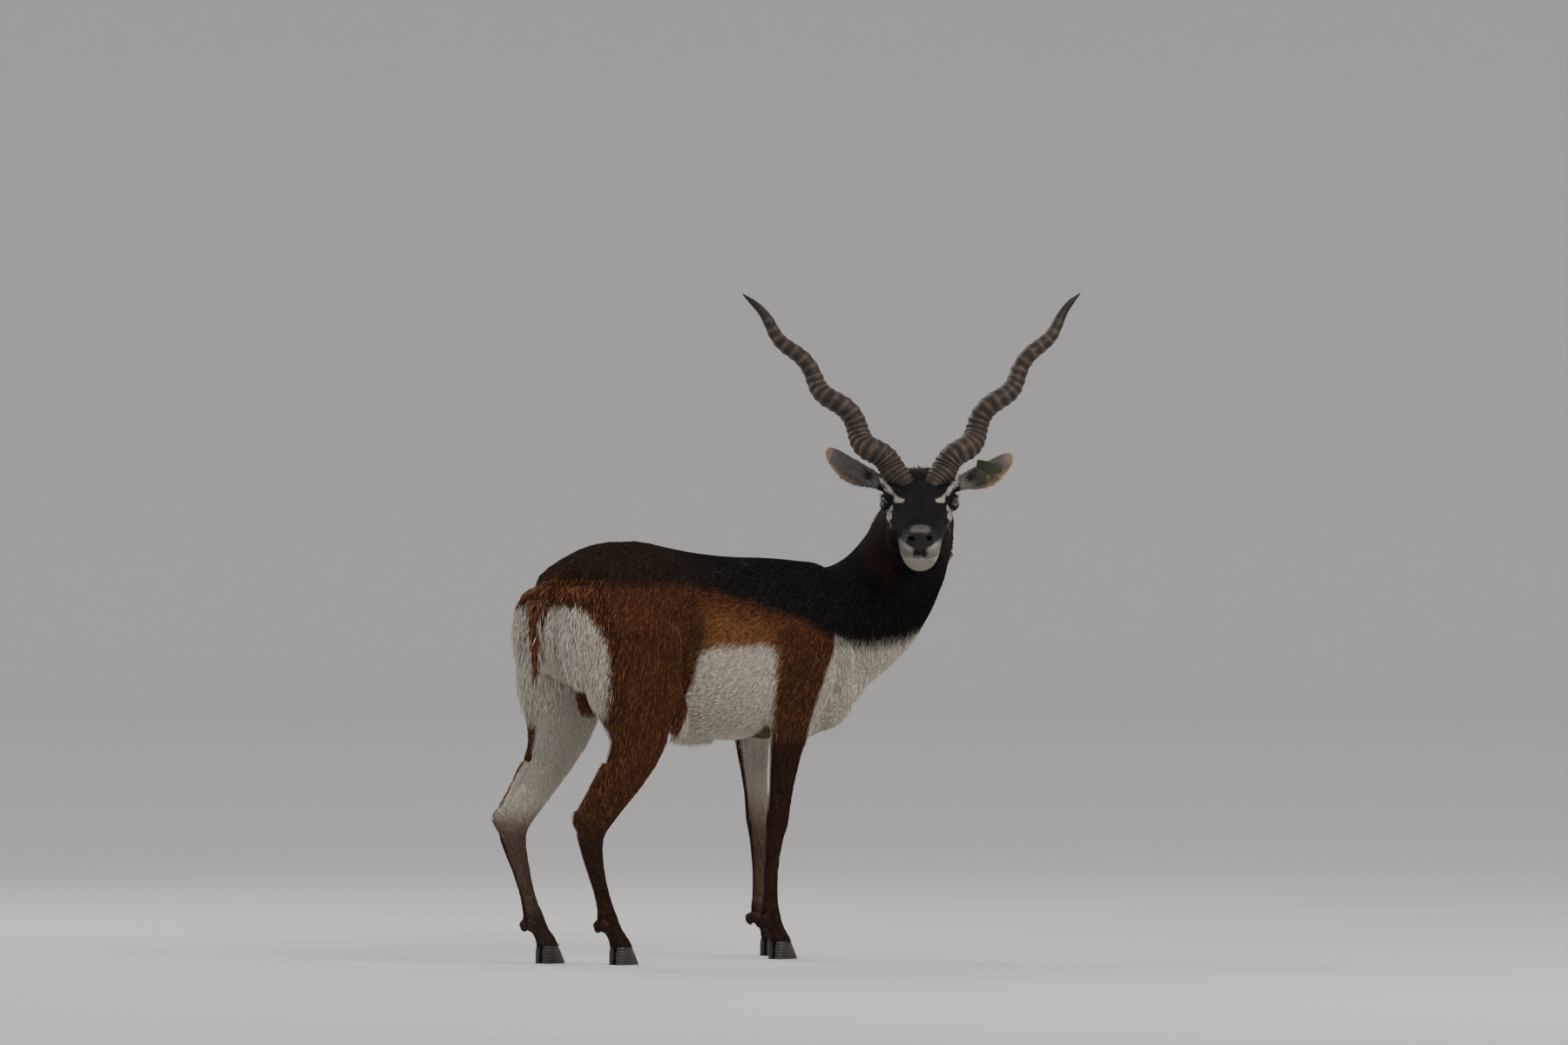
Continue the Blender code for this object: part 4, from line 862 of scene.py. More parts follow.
def coat_mesh(name, batches):
    """One closed mesh of many tufts with their colours and their places on the unwrap."""
    points, faces, colours, patches, start = [], [], [], [], 0
    for (shape, pattern, share), tint, uv in batches:
        count, corners = shape.shape[:2]
        points.append(shape.reshape(-1, 3))
        faces.append((pattern[None] + (start + corners * np.arange(count))[:, None, None]).reshape(-1, 3))
        # Painted shade at each tuft's root and painted light at its tip
        shade = (ROOT_PAINTED_SHADE + (TIP_PAINTED_LIGHT - ROOT_PAINTED_SHADE) * share)[None, :, None]
        colours.append((tint[:, None] * shade).reshape(-1, 3))
        spread = np.stack([np.where(np.arange(corners) % 2 == 0, -0.5, 0.5), share - 0.5], axis=1) * UV_PATCH
        patches.append((uv[:, None] + spread[None]).reshape(-1, 2))
        start += count * corners
    points, faces = np.concatenate(points), np.concatenate(faces)
    mesh = bpy.data.meshes.new(name)
    mesh.vertices.add(len(points))
    mesh.vertices.foreach_set("co", points.ravel())
    mesh.loops.add(faces.size)
    mesh.loops.foreach_set("vertex_index", faces.ravel())
    mesh.polygons.add(len(faces))
    mesh.polygons.foreach_set("loop_start", np.arange(0, faces.size, 3))
    mesh.update(calc_edges=True)
    layer = mesh.uv_layers.new(name="OFBake")
    layer.data.foreach_set("uv", np.concatenate(patches)[faces.ravel()].ravel())
    add_colours(mesh, "coat", np.concatenate(colours))
    obj = bpy.data.objects.new(name, mesh)
    bpy.context.scene.collection.objects.link(obj)
    return obj


def add_colours(mesh, name, colours):
    layer = mesh.color_attributes.new(name, "FLOAT_COLOR", "POINT")
    full = np.ones((len(colours), 4))
    full[:, :3] = colours
    layer.data.foreach_set("color", full.ravel())


def fur_length(points):
    """Length of the short coat at each place: longest on the trunk, shortest on the face and feet."""
    _, _, z, _ = midline_points(points)
    legs = 1 - smooth(z, 0.14, 0.46)
    length = 0.0140 - 0.0065 * legs - 0.0025 * (1 - smooth(z, 0.06, 0.14))
    share = head_share(points)
    head = to_head(points)
    face = 0.0065 - 0.0030 * smooth(head[:, 0], -0.01, 0.07) + 0.0035 * smooth(head[:, 2], 0.025, 0.05)
    length = length * (1 - share) + face * share
    return np.where(ear_of(points) != 0, 0.0036, length)


def coat_density(points):
    """How thickly tufts grow: the shorter the hair, the closer the tufts."""
    length = fur_length(points)
    head = to_head(points)
    pad = np.hypot(head[:, 1] / 0.0265, (head[:, 2] + 0.0420) / 0.0145)
    nose = smooth(1.45 - pad, 0.0, 0.10) * smooth(head[:, 0], 0.108, 0.114)
    return np.clip((0.0125 / length) ** 1.3, 0.8, 4.2) * (1 - bare_share(points)) * (1 - nose)


def tuft_tint(points, normals, draw):
    """Colour of each tuft: the markings with a ragged edge, and gold and dark flecks."""
    edge = draw.normal(0, 0.0026, len(points))
    tint = coat_colour(points, normals, edge)
    tint = tint * draw.uniform(0.84, 1.16, len(points))[:, None]
    brown = smooth(tint[:, 0] - 1.8 * tint[:, 2], 0.015, 0.05) * (1 - smooth(tint[:, 2], 0.05, 0.12))
    brown = brown * (1 - head_share(points))
    chance = draw.random(len(points))
    tint = tint + (np.array(GOLD) - tint) * (0.62 * brown * (chance < 0.26))[:, None]
    return tint * (1 - 0.55 * brown * (chance > 0.80))[:, None]


def short_coat(skin, count, draw):
    points, _ = read_mesh(skin.data)
    roots, normals = sample(skin, coat_density(points), count, draw)
    length = fur_length(roots) * draw.uniform(0.75, 1.25, len(roots))
    width = 0.00042 + 0.085 * length
    lift = (0.075 + draw.uniform(0, 0.06, len(roots))) * length
    ways = lay_flat(lie_of_hair(roots), normals, draw.normal(0, 0.12, len(roots)))
    return roots, normals, ways, length, width, lift


def at_horn_root(points, name):
    """1 in a narrow band of skin round the root of a horn."""
    root, along, _, _, _ = horn_frame(name)
    offset = points - root
    s = offset @ along
    away = np.linalg.norm(offset - s[:, None] * along, axis=1)
    return smooth(0.035 - away, 0.0, 0.004) * smooth(s, -0.045, -0.035) * smooth(0.040 - s, 0.0, 0.01)


def fringe_places(roots, normals):
    """(chance, length, drop) of long hair at each place."""
    x, _, z, _ = midline_points(roots)
    head = to_head(roots)
    share = head_share(roots)
    chance = np.zeros(len(roots))
    length = np.full(len(roots), 0.012)
    drop = np.zeros(len(roots))
    def grow(amount, size, fall):
        more = amount > chance
        chance[more] = amount[more]
        length[more] = size
        drop[more] = fall
    body = 1 - share
    rump = smooth(-0.44 - x, 0.0, 0.04) * smooth(z, 0.42, 0.50) * smooth(0.70 - z, 0.0, 0.03)
    belly = smooth(-normals[:, 2], 0.2, 0.6) * smooth(z, 0.38, 0.40) * smooth(0.60 - z, 0, 0.05)
    breast = smooth(x, 0.06, 0.10) * smooth(z, 0.42, 0.45) * smooth(0.60 - z, 0, 0.03)
    thigh_back = smooth(-0.33 - x, 0.0, 0.03) * smooth(z, 0.25, 0.30) * smooth(-normals[:, 0], 0.3, 0.6)
    tail = smooth(-0.530 - x, 0.0, 0.008) * smooth(z, 0.50, 0.52)
    grow(0.55 * body * rump, 0.024, 0.5)
    grow(0.50 * body * belly, 0.017, 0.1)
    grow(0.40 * body * breast, 0.016, 0.5)
    grow(0.35 * body * thigh_back, 0.014, 0.4)
    grow(0.75 * body * tail, 0.032, 0.9)
    grow(0.9 * smooth(0.046 - z, 0.0, 0.008), 0.0085, 0.2)
    crown = smooth(head[:, 2], 0.035, 0.048) * smooth(0.012 - head[:, 0], 0.0, 0.012) * share
    grow(0.55 * crown, 0.0130, 0.0)
    grow(0.35 * share * smooth(-head[:, 2], 0.07, 0.10) * smooth(0.04 - head[:, 0], 0, 0.02), 0.011, 0.3)
    for name in SIDES:
        grow(0.95 * at_horn_root(roots, name), 0.0165, 0.0)
    for name, own in SIDES.items():
        root, along, upper, front, reach = ear_axes(name)
        offset = roots - root
        way, across = offset @ along / reach, np.abs(offset @ upper)
        half = np.interp(way, [s[0] for s in EAR_STATIONS], [s[1] for s in EAR_STATIONS])
        on = (ear_of(roots) == own) * smooth(normals @ front, 0.0, 0.3)
        edge = smooth(across / np.maximum(half, 0.002), 0.60, 0.85)
        grow(0.55 * on * edge * smooth(0.75 - way, 0, 0.1), 0.011, 0.0)
        grow(0.12 * on * smooth(0.70 - way, 0, 0.1), 0.010, 0.0)
    return chance, length, drop


def long_coat(skin, count, draw):
    points, _ = read_mesh(skin.data)
    normals = read_normals(skin.data)
    chance, _, _ = fringe_places(points, normals)
    roots, normals = sample(skin, (chance + 1e-6) * (1 - bare_share(points)), count, draw)
    chance, length, drop = fringe_places(roots, normals)
    keep = chance > 0.02
    roots, normals, length, drop = roots[keep], normals[keep], length[keep], drop[keep]
    length = length * draw.uniform(0.75, 1.2, len(roots))
    width = 0.0008 + 0.050 * length
    lift = 0.10 * length + draw.uniform(0, 0.08, len(roots)) * length
    ways = lay_flat(lie_of_hair(roots), normals, draw.normal(0, 0.18, len(roots)))
    sag = np.array([0.0, 0.0, -1.0]) * drop[:, None] * 0.8
    bend = normals * 0.12 + sag + draw.normal(0, 0.10, (len(roots), 3))
    return roots, normals, ways, length, width, lift, bend


def coat_region(points):
    """Which of the coat's pieces each root goes to."""
    x, _, z, _ = midline_points(points)
    region = np.where(x > -0.02, 1, np.where(x > -0.27, 2, 3))
    region = np.where(z < 0.42, np.where(x < -0.25, 4, 5), region)
    region = np.where(x + 0.35 * z > 0.36, 6, region)
    return np.where(head_share(points) > 0.5, 0, region)


COAT_PIECES = ["coat_head", "coat_shoulder", "coat_flank", "coat_rump", "coat_hind_legs",
               "coat_fore_legs", "coat_neck"]


def make_coat(skin, material):
    draw = np.random.default_rng(SEED)
    thin = 1.0
    short = short_coat(skin, int(SHORT_TUFTS * thin), draw)
    long = long_coat(skin, int(LONG_TUFTS * thin), draw)
    short_tint = tuft_tint(short[0], short[1], draw)
    long_tint = tuft_tint(long[0], long[1], draw)
    every = unwrap_tiles(np.concatenate([short[0], long[0]]), np.concatenate([short[1], long[1]]))
    short_uv, long_uv = every[:len(short[0])], every[len(short[0]):]
    short_region, long_region = coat_region(short[0]), coat_region(long[0])
    made = []
    for index, name in enumerate(COAT_PIECES):
        batches = []
        on = short_region == index
        batches.append((short_tufts(*[v[on] for v in short]), short_tint[on], short_uv[on]))
        on = long_region == index
        batches.append((long_tufts(*[v[on] for v in long]), long_tint[on], long_uv[on]))
        halves = coat_halves(name, batches)
        for piece_name, piece_batches in halves:
            obj = coat_mesh(piece_name, piece_batches)
            made.append(finish_piece(obj, material))
    return made


def coat_halves(name, batches):
    """The batches in one piece, or in as many as keep each under the limit."""
    total = sum(shape.shape[0] * len(pattern) for (shape, pattern, _), _, _ in batches)
    pieces = max(1, math.ceil(total / COAT_PIECE_TRIANGLES))
    if pieces == 1:
        return [(name, batches)]
    parted = []
    for k in range(pieces):
        own = [((shape[k::pieces], pattern, share), tint[k::pieces], uv[k::pieces])
               for (shape, pattern, share), tint, uv in batches]
        parted.append(("%s_%d" % (name, k + 1), own))
    return parted


# Horns, eyes, claws and tag

def horn_frame(name):
    """Root of one horn, its length, and its three axes: along it, outwards and backwards."""
    level = level_turn()
    base = EYE_LEVEL + level @ HORN_BASES[name]
    reach = level @ (HORN_TIPS[name] - HORN_BASES[name])
    along = reach.normalized()
    outward = level @ Vector((0, SIDES[name], 0))
    outward = (outward - along * outward.dot(along)).normalized()
    back = level @ Vector((-1, 0, 0))
    back = (back - along * back.dot(along) - outward * back.dot(outward)).normalized()
    return [np.array(v) for v in (base, along, outward, back)] + [reach.length]


def calculate(tree, operation, *values):
    """A math node on sockets or numbers, and its result."""
    node = tree.nodes.new("ShaderNodeMath")
    node.operation = operation
    for socket, value in zip(node.inputs, values):
        if isinstance(value, (int, float)):
            socket.default_value = value
        else:
            tree.links.new(value, socket)
    return node.outputs["Value"]


def scaled(tree, vector, scale):
    node = tree.nodes.new("ShaderNodeVectorMath")
    node.operation = "SCALE"
    tree.links.new(vector, node.inputs["Vector"])
    tree.links.new(scale, node.inputs["Scale"])
    return node.outputs["Vector"]


def added(tree, *vectors):
    total = vectors[0]
    for vector in vectors[1:]:
        node = tree.nodes.new("ShaderNodeVectorMath")
        tree.links.new(total, node.inputs[0])
        tree.links.new(vector, node.inputs[1])
        total = node.outputs["Vector"]
    return total


def eased(tree, value, low, high):
    """0 below low, 1 above high, and an even slope between."""
    node = tree.nodes.new("ShaderNodeMapRange")
    node.interpolation_type = "SMOOTHSTEP"
    node.inputs["From Min"].default_value = low
    node.inputs["From Max"].default_value = high
    tree.links.new(value, node.inputs["Value"])
    return node.outputs["Result"]


def new_tree(name, inputs):
    """An empty geometry tree with named inputs, its input node and its output node."""
    tree = bpy.data.node_groups.new(name, "GeometryNodeTree")
    for label, kind in inputs:
        tree.interface.new_socket(label, in_out="INPUT", socket_type="NodeSocket" + kind)
    tree.interface.new_socket("Geometry", in_out="OUTPUT", socket_type="NodeSocketGeometry")
    return tree, tree.nodes.new("NodeGroupInput"), tree.nodes.new("NodeGroupOutput")


def end_tree(tree, geometry, source, target):
    """Ends a tree in real geometry with its material set."""
    real = tree.nodes.new("GeometryNodeRealizeInstances")
    material = tree.nodes.new("GeometryNodeSetMaterial")
    tree.links.new(geometry, real.inputs["Geometry"])
    tree.links.new(real.outputs["Geometry"], material.inputs["Geometry"])
    tree.links.new(source.outputs["Material"], material.inputs["Material"])
    tree.links.new(material.outputs["Geometry"], target.inputs["Geometry"])


def run_tree(obj, tree, values):
    """The object's mesh as the tree makes it with these inputs."""
    modifier = obj.modifiers.new(tree.name, "NODES")
    modifier.node_group = tree
    identifiers = {item.name: item.identifier for item in tree.interface.items_tree if item.in_out == "INPUT"}
    for label, value in values.items():
        modifier[identifiers[label]] = value
    return bake(obj)


def keep_attribute(tree, geometry, name, value):
    node = tree.nodes.new("GeometryNodeStoreNamedAttribute")
    node.domain = "POINT"
    node.inputs["Name"].default_value = name
    tree.links.new(geometry, node.inputs["Geometry"])
    tree.links.new(value, node.inputs["Value"])
    return node.outputs["Geometry"]


def horn_tree():
    """A ringed horn that winds like a corkscrew about a straight line."""
    tree, source, target = new_tree("horn_rule", [
        ("Root", "Vector"), ("Along", "Vector"), ("Outward", "Vector"), ("Back", "Vector"),
        ("Length", "Float"), ("Sunk", "Float"), ("Turn", "Float"), ("First Bulge", "Float"),
        ("Rings", "Float"), ("Smooth Tip", "Float"),
        ("Ridge", "Float"), ("Material", "Material")])
    given = source.outputs
    line = tree.nodes.new("GeometryNodeCurvePrimitiveLine")
    points = tree.nodes.new("GeometryNodeResampleCurve")
    points.inputs["Count"].default_value = HORN_POINTS
    tree.links.new(line.outputs["Curve"], points.inputs["Curve"])
    factor = tree.nodes.new("GeometryNodeSplineParameter").outputs["Factor"]
    whole = calculate(tree, "ADD", given["Length"], given["Sunk"])
    s = calculate(tree, "SUBTRACT", calculate(tree, "MULTIPLY", whole, factor), given["Sunk"])
    above = calculate(tree, "MAXIMUM", s, 0.0)
    share = calculate(tree, "DIVIDE", above, given["Length"])

    turns = calculate(tree, "DIVIDE", calculate(tree, "SUBTRACT", s, given["First Bulge"]), given["Turn"])
    angle = calculate(tree, "MULTIPLY", turns, 2 * math.pi)
    wide = calculate(tree, "MULTIPLY_ADD", share, WINDING_AT_TIP - WINDING_AT_ROOT, WINDING_AT_ROOT)
    swell = calculate(tree, "MINIMUM", calculate(tree, "DIVIDE", above, WINDING_STARTS_OVER), 1.0)
    wide = calculate(tree, "MULTIPLY", wide, swell)
    aside = calculate(tree, "MULTIPLY", calculate(tree, "COSINE", angle), wide)
    behind = calculate(tree, "MULTIPLY", calculate(tree, "SINE", angle), wide)
    place = added(tree, given["Root"], scaled(tree, given["Along"], s),
                  scaled(tree, given["Outward"], aside), scaled(tree, given["Back"], behind))
    bent = tree.nodes.new("GeometryNodeSetPosition")
    tree.links.new(points.outputs["Curve"], bent.inputs["Geometry"])
    tree.links.new(place, bent.inputs["Position"])

    # After a share c of the rings, (1 - w) * c + w * c * c of the way is done
    w = RING_CROWDING
    last = calculate(tree, "SUBTRACT", given["Length"], given["Smooth Tip"])
    way = calculate(tree, "DIVIDE", s, last)
    root = calculate(tree, "SQRT", calculate(tree, "MULTIPLY_ADD", way, 4 * w, (1 - w) ** 2))
    counted = calculate(tree, "DIVIDE", calculate(tree, "SUBTRACT", root, 1 - w), 2 * w)
    phase = calculate(tree, "SUBTRACT", calculate(tree, "MULTIPLY", counted, given["Rings"]), 0.6)
    uneven = calculate(tree, "MULTIPLY", calculate(tree, "SINE", calculate(tree, "MULTIPLY", s, 61.0)), 0.10)
    phase = calculate(tree, "ADD", phase, uneven)
    wave = calculate(tree, "COSINE", calculate(tree, "MULTIPLY", phase, 2 * math.pi))
    crest = calculate(tree, "POWER", calculate(tree, "MULTIPLY_ADD", wave, 0.5, 0.5), 1.4)
    to_last = calculate(tree, "SUBTRACT", last, s)
    strength = calculate(tree, "MULTIPLY", eased(tree, s, -0.040, -0.024),
                         eased(tree, to_last, -0.030, 0.020))
    ridge = calculate(tree, "MULTIPLY", crest, strength)
    proud = calculate(tree, "MULTIPLY", calculate(tree, "MULTIPLY_ADD", ridge, 2.0, -0.8), given["Ridge"])
    plain = tree.nodes.new("ShaderNodeFloatCurve")
    shape_float_curve(plain, [(place, radius / HORN_RADII[0][1]) for place, radius in HORN_RADII])
    tree.links.new(share, plain.inputs["Value"])
    radius = calculate(tree, "MULTIPLY", plain.outputs["Value"], HORN_RADII[0][1])
    ringed_radius = calculate(tree, "MULTIPLY_ADD", proud, strength, 1.0)
    radius = calculate(tree, "MULTIPLY", radius, ringed_radius)
    ringed = keep_attribute(tree, bent.outputs["Geometry"], "ridge", ridge)

    circle = tree.nodes.new("GeometryNodeCurvePrimitiveCircle")
    circle.inputs["Resolution"].default_value = HORN_SIDES
    circle.inputs["Radius"].default_value = 1.0
    swept = tree.nodes.new("GeometryNodeCurveToMesh")
    swept.inputs["Fill Caps"].default_value = True
    tree.links.new(ringed, swept.inputs["Curve"])
    tree.links.new(radius, swept.inputs["Scale"])
    tree.links.new(circle.outputs["Curve"], swept.inputs["Profile Curve"])
    end_tree(tree, swept.outputs["Mesh"], source, target)
    return tree


def shape_float_curve(node, points):
    """Sets a float curve to run straight through the points, from 0 to 1."""
    curve = node.mapping.curves[0]
    curve.points[0].location = points[0]
    curve.points[-1].location = points[-1]
    for place in points[1:-1]:
        curve.points.new(*place)
    for point in curve.points:
        point.handle_type = "VECTOR"
    node.mapping.update()


def horn_mesh(name, tree, material):
    root, along, outward, back, length = horn_frame(name)
    obj = mesh_object("horn_" + name + "_fine", [(0, 0, 0)], [])
    values = {"Root": root, "Along": along, "Outward": outward, "Back": back,
              "Length": length, "Sunk": HORN_SUNK,
              "Turn": HORN_TURN, "First Bulge": HORN_FIRST_BULGE, "Rings": float(HORN_RINGS),
              "Smooth Tip": HORN_SMOOTH_TIP, "Ridge": RIDGE_HEIGHT, "Material": material}
    values = {label: value.tolist() if isinstance(value, np.ndarray) else value
              for label, value in values.items()}
    return outwards(run_tree(obj, tree, values))


def bristle_tree():
    """A thin tapering bristle on each point, along its way and of its length."""
    tree, source, target = new_tree("bristles", [
        ("Geometry", "Geometry"), ("Thickness", "Float"), ("Material", "Material")])
    cone = tree.nodes.new("GeometryNodeMeshCone")
    cone.inputs["Vertices"].default_value = 5
    cone.inputs["Radius Top"].default_value = 0.12
    cone.inputs["Radius Bottom"].default_value = 1.0
    cone.inputs["Depth"].default_value = 1.0
    way = tree.nodes.new("GeometryNodeInputNamedAttribute")
    way.data_type = "FLOAT_VECTOR"
    way.inputs["Name"].default_value = "way"
    length = tree.nodes.new("ShaderNodeVectorMath")
    length.operation = "LENGTH"
    tree.links.new(way.outputs["Attribute"], length.inputs[0])
    size = tree.nodes.new("ShaderNodeCombineXYZ")
    tree.links.new(source.outputs["Thickness"], size.inputs["X"])
    tree.links.new(source.outputs["Thickness"], size.inputs["Y"])
    tree.links.new(length.outputs["Value"], size.inputs["Z"])
    turn = tree.nodes.new("FunctionNodeAlignRotationToVector")
    turn.axis = "Z"
    tree.links.new(way.outputs["Attribute"], turn.inputs["Vector"])
    dots = tree.nodes.new("GeometryNodeMeshToPoints")
    tree.links.new(source.outputs["Geometry"], dots.inputs["Mesh"])
    spread = tree.nodes.new("GeometryNodeInstanceOnPoints")
    tree.links.new(dots.outputs["Points"], spread.inputs["Points"])
    tree.links.new(cone.outputs["Mesh"], spread.inputs["Instance"])
    tree.links.new(turn.outputs["Rotation"], spread.inputs["Rotation"])
    tree.links.new(size.outputs["Vector"], spread.inputs["Scale"])
    end_tree(tree, spread.outputs["Instances"], source, target)
    return tree


def lash_roots(name):
    """Where the eyelashes grow and how they point: longest on the upper lid."""
    turn, centre = np.array(eye_turn(SIDES[name])), np.array(eye_centre(name))
    roots, ways = [], []
    for k in range(46):
        angle = 2 * math.pi * (k + 0.5) / 46
        c, s = math.cos(angle), math.sin(angle)
        if abs(c) > 0.93:
            continue
        x, y = 1.18 * LID_ALMOND[0] * c, 1.18 * LID_ALMOND[1] * s * (0.72 + 0.28 * abs(s))
        z = math.sqrt(LID_OUTER ** 2 - x * x - y * y)
        length = 0.0085 if s > 0 else 0.0035
        way = np.array([0.30 * c, 0.55 * s + (0.12 if s > 0 else 0), 0.80])
        roots.append(centre + turn @ np.array([x, y, z - 0.0006]))
        ways.append(turn @ (way / np.linalg.norm(way)) * length)
    return roots, ways


def whisker_roots(skin, draw):
    """Where the few stiff whiskers of the muzzle and chin grow."""
    tree = BVHTree.FromObject(skin, bpy.context.evaluated_depsgraph_get())
    roots, ways = [], []
    for side in SIDES.values():
        for _ in range(16):
            inside = (0.085 + 0.035 * draw.random(), 0.0, -0.055 - 0.042 * draw.random())
            aim = from_head(np.array([inside]))[0]
            out = np.array(head_turn()) @ np.array([0.35, side, -0.25 + 0.4 * draw.random()])
            out = out / np.linalg.norm(out)
            hit = tree.ray_cast(Vector(aim), Vector(out))
            if hit[0] is None:
                continue
            roots.append(np.array(hit[0]) - out * 0.0008)
            ways.append(unit(out + draw.normal(0, 0.12, 3)) * draw.uniform(0.012, 0.026))
    return roots, ways


def bristles(name, roots, ways, thickness, tree, material):
    obj = mesh_object(name, roots, [])
    layer = obj.data.attributes.new("way", "FLOAT_VECTOR", "POINT")
    layer.data.foreach_set("vector", np.array(ways).ravel())
    return run_tree(obj, tree, {"Thickness": thickness, "Material": material})


def eye_mesh(name):
    """A finely made eyeball with a slightly raised cornea, and its gaze plane kept for the iris."""
    rings, around = 40, 48
    polar = np.linspace(0.02, np.pi - 0.02, rings)
    angles = 2 * np.pi * np.arange(around) / around
    bulge = 1 + 0.030 * smooth(0.75 - polar, 0.0, 0.45)
    unit_rings = np.stack([np.sin(polar)[:, None] * np.cos(angles)[None],
                           np.sin(polar)[:, None] * np.sin(angles)[None],
                           np.broadcast_to(np.cos(polar)[:, None], (rings, around))], axis=-1)
    local = unit_rings * (EYE_RADIUS * bulge)[:, None, None]
    points = local @ np.array(eye_turn(SIDES[name])).T + np.array(eye_centre(name))
    shape, faces = closed_rings(points)
    obj = outwards(mesh_object("eye_" + name + "_fine", shape, faces))
    flat = local.reshape(-1, 3) / EYE_RADIUS
    add_colours(obj.data, "gaze", flat * 0.5 + 0.5)
    return obj


def claw_mesh(node, way):
    """One half of a cloven hoof, rounder than its node, with its sole flat."""
    low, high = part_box(node)
    x = low.x + 0.019
    y = low.y - 0.0018 if way > 0 else high.y + 0.0018
    levels = np.array([(0.0, -0.019, 0.0330, 0.0078, 0.0066), (0.0015, -0.0190, 0.0330, 0.0079, 0.0066),
                       (0.006, -0.0185, 0.0312, 0.0082, 0.0068), (0.020, -0.0180, 0.0238, 0.0088, 0.0070),
                       (0.0327, -0.0162, 0.0162, 0.0086, 0.0065)])
    rows = catmull_rom(levels, 6)
    angles = 2 * np.pi * np.arange(36) / 36
    c, s = np.cos(angles), np.sin(angles)
    rings = []
    for height, heel, toe, outer, inner in rows:
        reach = np.where(c > 0, toe * (1 - 0.10 * s * s), -heel)
        across = np.where(s > 0, outer, inner) * np.sign(s) * np.abs(s) ** 0.75
        narrow = 1 - 0.45 * np.clip(c, 0, None) ** 3
        rings.append(np.stack([x + reach * c, y + way * (0.0088 + across * narrow),
                               np.full(36, max(0.0, height))], axis=1))
    rings = np.array(rings)
    return outwards(mesh_object(node + "_fine", *closed_rings(rings)))


def tag_turn():
    """The tag's place and axes: right, up, out of the ear."""
    level = level_turn()
    out = Matrix(((0, 0, 1), (1, 0, 0), (0, 1, 0)))
    return EYE_LEVEL + level @ TAG_PLACE, level @ out @ Matrix.Rotation(TAG_TILT, 3, "Z")


def tag_part(outline, low, high, bevel):
    """(points, faces) of a plate of a convex outline with rounded edges, in the frame."""
    place, turn = tag_turn()
    outline = np.array(outline, float)
    middle = outline.mean(0)
    rings = []
    for inset, z in ((bevel, low), (bevel * 0.3, low + bevel * 0.3), (0, low + bevel), (0, high - bevel),
                     (bevel * 0.3, high - bevel * 0.3), (bevel, high)):
        scaled = middle + (outline - middle) * (1 - inset / np.abs(outline - middle).max())
        rings.append(np.column_stack([scaled, np.full(len(scaled), z)]))
    rings = np.array(rings) @ np.array(turn).T + np.array(place)
    return closed_rings(rings)


TAG_OUTLINE = [(-0.0055, -0.0195), (0.0055, -0.0195), (0.0075, -0.0165), (0.0085, -0.0060), (0.0240, -0.0010),
               (0.0248, 0.0020), (0.0245, 0.0150), (0.0230, 0.0165), (-0.0230, 0.0165), (-0.0245, 0.0150),
               (-0.0248, 0.0020), (-0.0240, -0.0010), (-0.0085, -0.0060), (-0.0075, -0.0165)]


def tag_mesh():
    """The flag with its raised rim, the stud's cap and the pin."""
    circle = 2 * np.pi * np.arange(28) / 28
    round_outline = np.stack([np.cos(circle), np.sin(circle)], axis=1)
    pin = np.array(TAG_PIN)[:2]
    flag = np.array(TAG_OUTLINE)
    parts = [
        (tag_part(flag, -0.0008, 0.0006, 0.0003), 0.0),
        (tag_frame(flag, TAG_RIM, 0.0004, 0.0009), 1.0),
        (tag_part(pin + round_outline * 0.0048, -0.0005, 0.0024, 0.0006), 0.8),
        (tag_part(pin + round_outline * 0.0022, -0.0120, 0.0012, 0.0002), 0.5),
    ]
    points, faces, rims = [], [], []
    for (own_points, own_faces), rim in parts:
        start = sum(len(p) for p in points)
        points.append(own_points)
        faces += [tuple(start + i for i in face) for face in own_faces]
        rims.append(np.full((len(own_points), 3), rim))
    obj = outwards(mesh_object("ear_tag_fine", np.vstack(points), faces))
    add_colours(obj.data, "rim", np.vstack(rims))
    return obj


def tag_frame(outline, width, low, high):
    """(points, faces) of a thin raised border along an outline."""
    place, turn = tag_turn()
    middle = outline.mean(0) + (0, 0.004)
    inner = outline - unit(outline - middle) * width
    rings = [np.column_stack([flat, np.full(len(flat), z)])
             for flat, z in ((outline, low), (outline, high), (inner, high), (inner, low))]
    rings = np.array(rings) @ np.array(turn).T + np.array(place)
    count = len(outline)
    faces = [(i * count + k, i * count + (k + 1) % count, ((i + 1) % 4) * count + (k + 1) % count,
              ((i + 1) % 4) * count + k) for i in range(4) for k in range(count)]
    return rings.reshape(-1, 3), faces


# Materials

def new_material(name, roughness, base=(0.5, 0.5, 0.5)):
    material = bpy.data.materials.new(name)
    material.use_nodes = True
    shader = material.node_tree.nodes["Principled BSDF"]
    shader.inputs["Roughness"].default_value = roughness
    shader.inputs["Base Color"].default_value = (*base, 1)
    return material, shader


def add_bump(material, shader, scale, distance, stretch=(1, 1, 1)):
    """Fine relief from noise in the object's own coordinates."""
    nodes, links = material.node_tree.nodes, material.node_tree.links
    place = nodes.new("ShaderNodeTexCoord")
    mapping = nodes.new("ShaderNodeMapping")
    mapping.inputs["Scale"].default_value = stretch
    noise = nodes.new("ShaderNodeTexNoise")
    noise.inputs["Scale"].default_value = scale
    noise.inputs["Detail"].default_value = 4
    bump = nodes.new("ShaderNodeBump")
    bump.inputs["Distance"].default_value = distance
    links.new(place.outputs["Object"], mapping.inputs["Vector"])
    links.new(mapping.outputs["Vector"], noise.inputs["Vector"])
    links.new(noise.outputs["Fac"], bump.inputs["Height"])
    links.new(bump.outputs["Normal"], shader.inputs["Normal"])
    return noise


